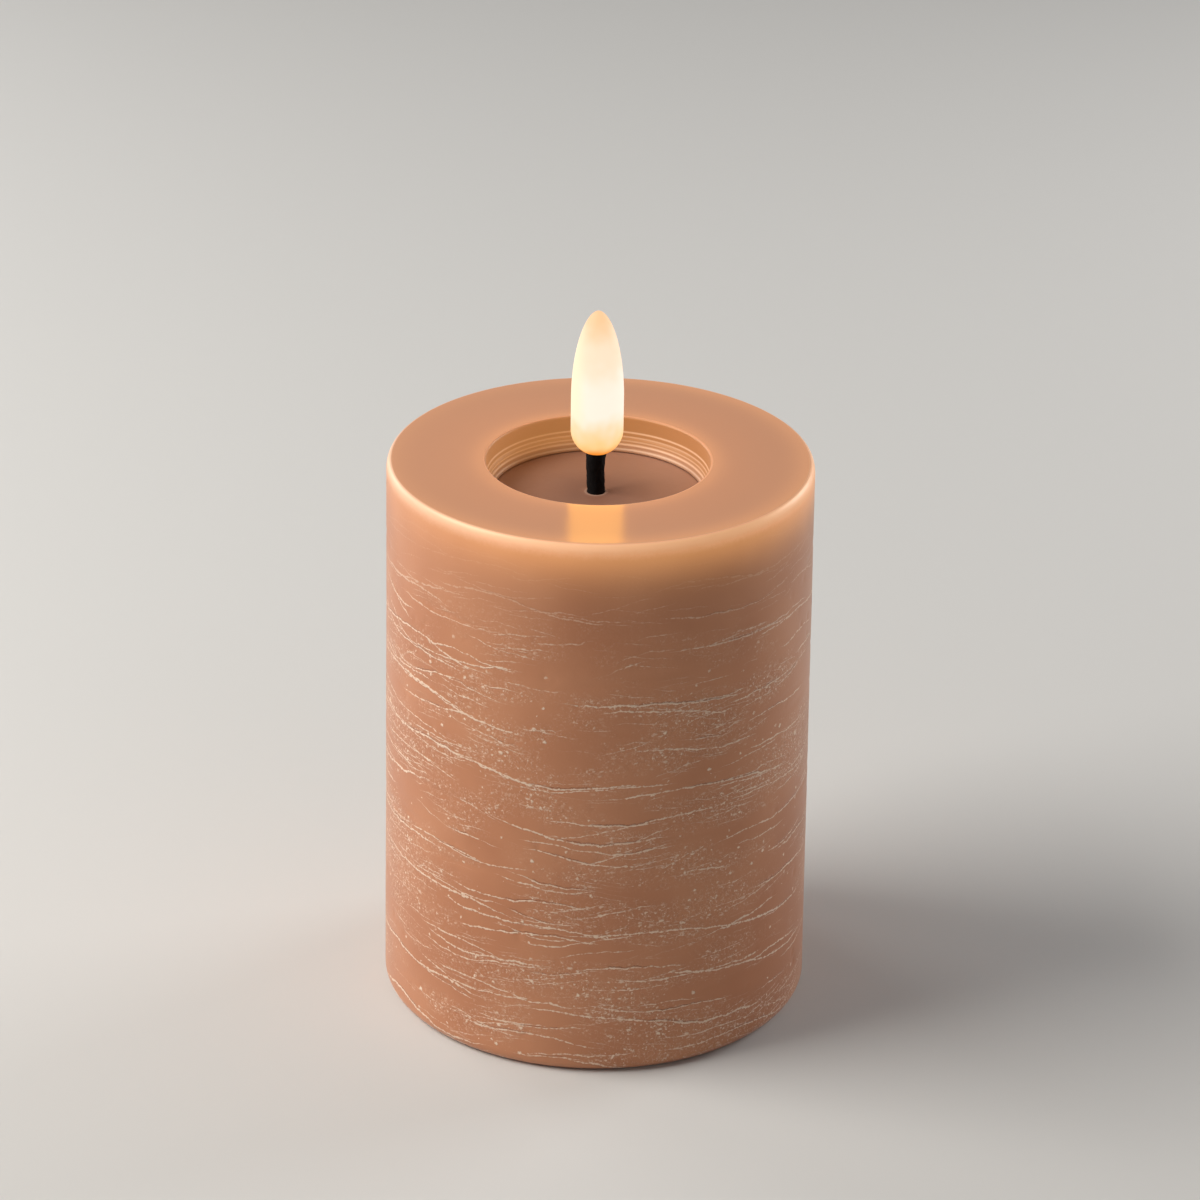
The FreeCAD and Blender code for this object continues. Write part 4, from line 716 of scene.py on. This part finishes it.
def dress_nodes():
    """Gives every CAD node that stays its own material."""
    ivory = moulded("housing_plastic", hue(224, 209, 184), hue(212, 195, 168), 0.48)
    nickel = metal("spring_steel", hue(206, 204, 198), hue(160, 156, 148), 0.32, (0.2, 1.0, 1.0))
    zinc = metal("screw_metal", hue(196, 196, 196), hue(150, 150, 148), 0.35, (1.0, 1.0, 0.3))
    bright = metal("can_metal", hue(200, 200, 202), hue(168, 168, 170), 0.25, (1.0, 0.2, 1.0))
    cell = metal("cell_metal", hue(212, 210, 205), hue(170, 168, 162), 0.24, (0.1, 1.0, 1.0))
    red = insulation("wire_red", hue(196, 26, 22), hue(150, 14, 14))
    black = insulation("wire_black", hue(34, 34, 36), hue(16, 16, 18))
    board = board_material()
    chip = moulded("chip_black", hue(30, 30, 32), hue(20, 20, 22), 0.55, 3.0)
    chosen = {
        "flame_holder": moulded("holder_plastic", hue(222, 212, 194), hue(208, 196, 176), 0.5),
        "led_board": board,
        "circuit_board": board,
        "led_chip": led_material(),
        "lamp_wire_red": red,
        "battery_wire_red": red,
        "lamp_wire_black": black,
        "battery_wire_black": black,
        "base_housing": ivory,
        "battery_door": ivory,
        "cell_a_can": cell,
        "cell_b_can": cell,
        "cell_a_sleeve": sleeve_material("cell_label_a", 1.0),
        "cell_b_sleeve": sleeve_material("cell_label_b", -1.0),
        "link_plate": nickel,
        "link_spring": nickel,
        "positive_plate": nickel,
        "negative_plate": nickel,
        "negative_spring": nickel,
        "board_screws": zinc,
        "timer_chip": chip,
        "timer_crystal": bright,
        "board_resistors": chip,
        "board_capacitor": bright,
        "switch_frame": bright,
        "switch_base": moulded("switch_plastic", hue(74, 50, 38), hue(58, 38, 28), 0.5, 2.0),
        "switch_slider": moulded("slider_plastic", hue(40, 40, 42), hue(26, 26, 28), 0.45, 2.0),
    }
    add_marks(ivory)
    for name, material in chosen.items():
        thing = NODES[name]
        thing.data.materials.clear()
        thing.data.materials.append(material)


# Wax pillar

SIDE_ROWS = 200
SIDE_SEGMENTS = 480
GROOVES = 90
PITS = 420
# The pool's lip at the wick, its depth under the well's floor, its rise and gap at the edge
POOL_LIP = 0.18 * MM
POOL_DEPTH = 0.22 * MM
POOL_RISE = 0.2 * MM
POOL_GAP = 0.02 * MM


def well_wall():
    """Well's wall from the rim down, standing in by small ledges that pouring left."""
    points = arc((WELL_MOUTH, BODY_HEIGHT - WELL_EDGE), WELL_EDGE, 90, 180, 8)
    fall = BODY_HEIGHT - WELL_EDGE - WELL_FLOOR
    heights, insets = zip(*reversed(WELL_STEPS))
    above = np.linspace(fall / MM, 0.0, WELL_ROWS)
    shifts = (-0.15, -0.05, 0.05, 0.15)
    inset = sum(np.interp(above + shift, heights, insets) for shift in shifts) / len(shifts)
    for height, step_in in list(zip(above, inset))[1:-1]:
        points.append((WELL_RIM_RADIUS - step_in * MM, WELL_FLOOR + height * MM))
    points.append((WELL_FLOOR_RADIUS, WELL_FLOOR))
    points += line((WELL_FLOOR_RADIUS, WELL_FLOOR), (WELL_FLOOR_RADIUS, POOL_SEAT), 2)
    return points


def pillar_profile():
    """Closed profile of the wax: side, top, well, web, hollow and bore, then the foot."""
    edge_across, edge_down = TOP_EDGE
    slope_top = BODY_HEIGHT - edge_down
    flat_start = TOP_RADIUS - edge_across
    side = arc((BASE_RADIUS - BASE_EDGE, BASE_EDGE), BASE_EDGE, 270, 360, 8)
    side += line((BASE_RADIUS, BASE_EDGE), (TOP_RADIUS, slope_top), SIDE_ROWS)
    for across, down in arc((0.0, 0.0), 1.0, 0, 90, 14)[1:]:
        side.append((flat_start + across * edge_across, slope_top + down * edge_down))
    top = line((flat_start, BODY_HEIGHT), (WELL_MOUTH, BODY_HEIGHT), 14)
    web = line((WELL_FLOOR_RADIUS, POOL_SEAT), (WEB_HOLE_RADIUS, POOL_SEAT), 5)
    web += line((WEB_HOLE_RADIUS, POOL_SEAT), (WEB_HOLE_RADIUS, WEB_UNDERSIDE), 3)
    corner = HOLLOW_TOP_RADIUS - HOLLOW_CORNER
    hollow = line((WEB_HOLE_RADIUS, WEB_UNDERSIDE), (corner, WEB_UNDERSIDE), 5)
    hollow += arc((corner, WEB_UNDERSIDE - HOLLOW_CORNER), HOLLOW_CORNER, 90, 0, 5)[1:]
    hollow += line(hollow[-1], (HOLLOW_BASE_RADIUS, HOUSING_TOP), 8)
    bore = line((HOLLOW_BASE_RADIUS, HOUSING_TOP), (BORE_RADIUS, HOUSING_TOP), 2)
    bore += line((BORE_RADIUS, HOUSING_TOP), (BORE_RADIUS, 0.0), 5)
    foot = line((BORE_RADIUS, 0.0), (BASE_RADIUS - BASE_EDGE, 0.0), 4)[:-1]
    return side + top + well_wall()[1:] + web + hollow + bore + foot


def side_relief(angles, radii, heights):
    """Worn side: slow waviness, long shallow grooves and small pits, all cut inward."""
    chance = np.random.default_rng(SEED)
    changed = radii.copy()
    outer = (radii > BASE_RADIUS - BASE_EDGE) & (heights > 0) & (heights < BODY_HEIGHT)
    level = heights / MM
    depth = 0.03 * (1 + np.sin(3 * angles + level / 17.0) * np.sin(level / 9.0 + angles * 2))
    for _ in range(GROOVES):
        middle = chance.uniform(0, FULL_TURN)
        stand = chance.uniform(4, 92)
        reach = chance.uniform(0.08, 0.5)
        slope = chance.normal(0, 3.0)
        width = chance.uniform(0.45, 0.8)
        cut = chance.uniform(0.03, 0.12)
        offset = wrapped(angles - middle)
        course = stand + slope * offset + 0.5 * np.sin(offset * chance.uniform(5, 12) + stand)
        ends = np.clip(1.4 * (1 - np.abs(offset) / reach), 0, 1)
        depth = depth + cut * ends * np.exp(-((level - course) / width) ** 2)
    for _ in range(PITS):
        middle = chance.uniform(0, FULL_TURN)
        if chance.uniform() < 0.2:
            stand = 88 * math.sqrt(chance.uniform(0, 1))
        else:
            stand = chance.uniform(4, 84)
        size = chance.uniform(0.4, 0.65)
        cut = chance.uniform(0.05, 0.16)
        row_gap = np.abs(level - stand)
        if row_gap.min() > 2:
            continue
        across = wrapped(angles - middle) * BASE_RADIUS / MM
        depth = depth + cut * np.exp(-(across ** 2 + row_gap ** 2) / size ** 2)
    fade = np.clip((BODY_HEIGHT / MM - level - 1.0) / 12.0, 0, 1) * np.clip(level / 4.0, 0, 1)
    changed[outer] = (radii - depth * fade * MM)[outer]
    return changed, heights


def shift_well(points, radii, heights):
    """Moves the well a little off the candle's middle, and the web's hole to the wick's axis."""
    near = np.clip((WEB_HOLE_RADIUS * 3 - radii) / (WEB_HOLE_RADIUS * 2), 0, 1)
    share = np.clip((FLAT_RADIUS - radii) / (FLAT_RADIUS - WELL_MOUTH), 0, 1)
    share = share * (1 - near) * (heights > POOL_SEAT - 0.01 * MM)
    points[:, 0] += WICK_AXIS * near + WELL_SHIFT[0] * share
    points[:, 1] += WELL_SHIFT[1] * share
    return points


def add_pillar(material):
    """The wax pillar, which stands for the CAD's wax shell."""
    profile = pillar_profile()
    points = revolved(profile, SIDE_SEGMENTS, relief=side_relief)
    radii = np.repeat([radius for radius, _ in profile], SIDE_SEGMENTS)
    heights = np.repeat([height for _, height in profile], SIDE_SEGMENTS)
    points = shift_well(points, radii, heights)
    faces = ring_faces(len(profile), SIDE_SEGMENTS, closed=True)
    pillar = add_mesh("candle_body", points, faces, "candle", material)
    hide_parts("wax_shell")


def add_pool(material):
    """The well's smooth floor: a shallow rise to its edge, and a ring where it meets the wick."""
    outer = WELL_FLOOR_RADIUS - POOL_GAP
    hole = WICK_RADIUS * 0.98
    collar = WELL_FLOOR - POOL_LIP
    flat_start = hole + 4 * POOL_LIP
    flat = WELL_FLOOR - POOL_DEPTH
    profile = [(hole, POOL_SEAT)]
    profile += line((hole, POOL_SEAT), (hole, collar), 2)
    profile += arc((hole + POOL_LIP, collar - POOL_LIP / 2), POOL_LIP, 180, 90, 4)[1:]
    profile += line(profile[-1], (flat_start, flat), 3)
    for step in range(1, 19):
        share = step / 18
        radius = flat_start + (outer - hole - 4 * POOL_LIP) * share
        profile.append((radius, flat + POOL_RISE * share ** 12))
    profile += line((outer, WELL_FLOOR - POOL_GAP), (outer, POOL_SEAT), 3)
    profile += line((outer, POOL_SEAT), (hole, POOL_SEAT), 4)[:-1]
    segments = 160
    points = revolved(profile, segments)
    radii = np.repeat([radius for radius, _ in profile], segments)
    near = np.clip((outer - radii) / (outer - hole), 0, 1)
    points[:, 0] += WICK_AXIS * near + WELL_SHIFT[0] * (1 - near)
    points[:, 1] += WELL_SHIFT[1] * (1 - near)
    faces = ring_faces(len(profile), segments, closed=True)
    pool = add_mesh("well_floor", points, faces, "candle", material)
    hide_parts("wax_pool")


# Wick and flame

def wick_bend(height):
    """How far the wick's middle stands off its axis at a height, across and along."""
    share = (height - WELL_FLOOR) / (WICK[1].z - WELL_FLOOR)
    share = min(max(share, 0.0), 1.0)
    across = 0.27 * MM * share ** 3 - 0.22 * MM * math.sin(share * math.pi)
    along = 0.12 * MM * math.sin(share * 6.0) * math.sin(share * math.pi)
    return across, along


def add_wick(material):
    """Crooked black wick of rough strands, hollow for its wires, with a round head."""
    foot = WICK[0].z
    head = WICK[1].z - WICK_HEAD_HEIGHT
    profile = line((WICK_BORE_RADIUS, WICK[1].z), (WICK_BORE_RADIUS, foot), 40)
    profile += line((WICK_BORE_RADIUS, foot), (WICK_RADIUS, foot), 2)
    profile += line((WICK_RADIUS, foot), (WICK_RADIUS, head), 90)
    profile += line((WICK_RADIUS, head), (WICK_HEAD_RADIUS, head + 0.25 * MM), 2)
    profile += line((WICK_HEAD_RADIUS, head + 0.25 * MM), (WICK_HEAD_RADIUS, WICK[1].z), 4)
    segments = 64
    points = revolved(profile, segments)
    for index, point in enumerate(points):
        radius, height = profile[index // segments]
        angle = FULL_TURN * (index % segments) / segments
        bend = wick_bend(height)
        scale = 1.0
        if radius > WICK_BORE_RADIUS and height < head:
            strands = 0.03 * abs(math.sin(5 * angle + height / MM * 1.7))
            knots = 0.07 * noise.noise(Vector(point) / (1.1 * MM))
            waist = 0.17 * min(max((head - height) / (5.0 * MM), 0.0), 1.0)
            scale = 1.16 - strands - waist + knots
        point[0] = point[0] * scale + WICK_AXIS + bend[0]
        point[1] = point[1] * scale + bend[1]
    faces = ring_faces(len(profile), segments, closed=True)
    wick = add_mesh("wick_strands", points, faces, "candle", material)
    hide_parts("wick")
    wick.visible_shadow = False


def flame_outline(radius, nose, wall):
    """Half outline of a flame from its lowest edge up to the tip."""
    dome = FLAME_TOP - FLAME_NOSE - FLAME_STRAIGHT
    shoulder = FLAME_TOP - FLAME_NOSE
    opening = WICK_HEAD_RADIUS + 0.1 * MM
    lowest = math.degrees(math.acos(opening / radius))
    points = arc((0.0, dome), radius, -lowest, 0, 14)
    points += line((radius, dome), (radius, shoulder), 8)
    for step in range(1, 41):
        angle = step / 40 * math.pi / 2
        across = radius * math.cos(angle) ** FLAME_POINT
        points.append((across, shoulder + (nose - wall) * math.sin(angle)))
    return points


def add_flame(material):
    """Hollow flame that stands on the wick's head."""
    outer = flame_outline(FLAME_RADIUS, FLAME_NOSE, 0.0)
    inner = flame_outline(FLAME_RADIUS - FLAME_WALL, FLAME_NOSE, FLAME_WALL)
    inner.reverse()
    outer[-1] = (0.02 * MM, outer[-1][1])
    inner[0] = (0.02 * MM, inner[0][1])
    profile = outer + inner
    segments = 96
    points = revolved(profile, segments)
    points[:, 0] += WICK_AXIS
    faces = ring_faces(len(profile), segments, closed=True)
    flame = add_mesh("flame_glow", points, faces, "candle", material)
    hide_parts("flame_shell")
    flame.visible_shadow = False
    flame.visible_glossy = False


# Marks on the underside

MARK_DEPTH = 0.15 * MM
WORD_SIZE = 2.1 * MM
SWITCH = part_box("switch_frame")
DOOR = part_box("battery_door")
# word, place across from the switch's middle, in mm
SWITCH_WORDS = (("ON", -5.2), ("OFF", 0.0), ("TIMER", 6.4))
WORD_BESIDE = 6.6 * MM


def add_word(name, text, size, middle, body, material):
    """Raised word on a face that looks down, read from below."""
    curve = bpy.data.curves.new(name, "FONT")
    curve.body = text
    curve.size = size
    curve.extrude = MARK_DEPTH
    curve.bevel_depth = MARK_DEPTH / 4
    curve.bevel_resolution = 1
    curve.align_x = "CENTER"
    curve.align_y = "CENTER"
    word = bpy.data.objects.new(name, curve)
    bpy.context.scene.collection.objects.link(word)
    word.matrix_world = Matrix.Translation(middle) @ Matrix.Rotation(math.pi, 4, "X")
    curve.materials.append(material)
    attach(word, body)


def add_marks(material):
    """Words by the switch, and one by the door's finger notch."""
    middle = (SWITCH[0] + SWITCH[1]) / 2
    for text, across in SWITCH_WORDS:
        place = (middle.x + across * MM, middle.y + WORD_BESIDE, HOUSING[0].z)
        add_word("word_" + text.lower(), text, WORD_SIZE, place, "candle", material)
    place = (DOOR[1].x - 15 * MM, 0.0, HOUSING[0].z + 0.2 * MM)
    add_word("word_open", "OPEN", WORD_SIZE * 1.3, place, "door", material)


# Floor, light and camera

FLOOR_RADIUS = 6.0
FLOOR_OPENING = BASE_RADIUS - BASE_EDGE - 0.6 * MM
# Name, place, size, power and colour of each lamp that faces the candle's middle
LAMPS = (
    ("key_lamp", (-0.72, -0.09, 0.66), 0.65, 10.3, (1.0, 0.97, 0.92)),
    ("fill_lamp", (0.55, -0.75, 0.6), 0.6, 0.5, (1.0, 0.97, 0.94)),
    ("left_rim_lamp", (-0.6, 0.55, 0.25), 0.35, 1.6, (1.0, 1.0, 1.0)),
    ("right_rim_lamp", (0.65, 0.42, 0.25), 0.35, 2.8, (1.0, 1.0, 1.0)),
)
FLAME_LIGHT = (1.0, 0.47, 0.02)
FLAME_LAMP_POWER = 0.0014
FLAME_LAMP_HEIGHT = 18 * MM
# Height of a direction where the walls end, and the strengths below and above
WALL_RANGE = (0.08, 0.3, 0.40, 0.10)
# Camera fitted to the photograph: lens in mm, place, and its directions across and up
CAMERA_LENS = 140.05
CAMERA_PLACE = (-0.00024, -0.74250, 0.42115)
CAMERA_RIGHT = (0.999900, 0.005519, 0.013034)
CAMERA_UP = (-0.014144, 0.423784, 0.905653)


def add_floor():
    """Pale floor, open under the candle and clear from below, so that the underside shows."""
    points = revolved([(FLOOR_OPENING, 0.0), (FLOOR_RADIUS, 0.0)], 96)
    faces = ring_faces(2, 96, closed=False)
    mesh = bpy.data.meshes.new("floor")
    mesh.from_pydata([tuple(point) for point in points], [], faces)
    mesh.update()
    if mesh.polygons[0].normal.z < 0:
        mesh.flip_normals()
    floor = bpy.data.objects.new("floor", mesh)
    bpy.context.scene.collection.objects.link(floor)
    graph = Graph("floor", (0.68, 0.67, 0.65), 0.7)
    clear = graph.node("ShaderNodeBsdfTransparent")
    either = graph.node("ShaderNodeMixShader")
    graph.feed(either.inputs[0], graph.node("ShaderNodeNewGeometry").outputs["Backfacing"])
    graph.feed(either.inputs[1], graph.shader.outputs[0])
    graph.feed(either.inputs[2], clear.outputs[0])
    graph.feed(graph.tree.nodes["Material Output"].inputs[0], either.outputs[0])
    mesh.materials.append(graph.material)


def add_lamp(name, place, aim, size, power, colour):
    """Square soft lamp that faces a point."""
    light = bpy.data.lights.new(name, "AREA")
    light.energy = power
    light.color = colour
    light.size = size
    lamp = bpy.data.objects.new(name, light)
    bpy.context.scene.collection.objects.link(lamp)
    lamp.location = place
    lamp.rotation_euler = (Vector(aim) - Vector(place)).to_track_quat("-Z", "Y").to_euler()
    return lamp


def add_flame_lamps():
    """Warm light of the flame: four narrow lamps back to back in its middle."""
    middle = Vector((WICK_AXIS, 0.0, (FLAME[0].z + FLAME_TOP) / 2 - 2 * MM))
    reach = FLAME_RADIUS - 0.3 * MM
    width = 2.2 * reach
    for side, way in (("front", (0, -1)), ("right", (1, 0)), ("back", (0, 1)), ("left", (-1, 0))):
        outward = Vector((*way, 0.0))
        place = middle + outward * reach
        aim = middle + outward
        lamp = add_lamp("flame_lamp_" + side, place, aim, width, FLAME_LAMP_POWER, FLAME_LIGHT)
        lamp.data.shape = "RECTANGLE"
        lamp.data.size_y = FLAME_LAMP_HEIGHT
        lamp.visible_camera = False


def add_light():
    """Lamps round the candle, one below it, the flame's own and the studio."""
    middle = (0.0, 0.0, BODY_HEIGHT / 2)
    for name, place, size, power, colour in LAMPS:
        add_lamp(name, place, middle, size, power, colour)
    below = (-0.2, -0.35, -0.55)
    lamp = add_lamp("underside_lamp", below, (0.0, 0.0, 0.0), 0.5, 3.0, (1.0, 1.0, 1.0))
    lamp.visible_camera = False
    add_flame_lamps()
    add_world()


def add_world():
    """Dim studio, brighter low down where its pale walls stand."""
    world = bpy.data.worlds.new("studio")
    world.use_nodes = True
    tree = world.node_tree
    direction = tree.nodes.new("ShaderNodeTexCoord").outputs["Generated"]
    parts = tree.nodes.new("ShaderNodeSeparateXYZ")
    tree.links.new(direction, parts.inputs[0])
    walls = tree.nodes.new("ShaderNodeMapRange")
    walls.interpolation_type = "SMOOTHSTEP"
    tree.links.new(parts.outputs[2], walls.inputs[0])
    for socket, value in zip(walls.inputs[1:5], WALL_RANGE):
        socket.default_value = value
    background = tree.nodes["Background"]
    background.inputs[0].default_value = (0.94, 0.96, 1.0, 1.0)
    tree.links.new(walls.outputs[0], background.inputs[1])
    bpy.context.scene.world = world


def add_camera():
    """Camera at the photograph's angle and framing."""
    data = bpy.data.cameras.new("camera")
    data.sensor_width = 36.0
    data.lens = CAMERA_LENS
    camera = bpy.data.objects.new("camera", data)
    bpy.context.scene.collection.objects.link(camera)
    right = Vector(CAMERA_RIGHT)
    up = Vector(CAMERA_UP)
    turn = Matrix((right, up, right.cross(up))).transposed()
    camera.matrix_world = Matrix.Translation(CAMERA_PLACE) @ turn.to_4x4()
    bpy.context.scene.camera = camera


dress_nodes()
add_pillar(wax_material())
add_pool(pool_material())
add_wick(wick_material())
add_flame(flame_material())
add_floor()
add_light()
add_camera()
bpy.context.scene.view_settings.view_transform = "Standard"
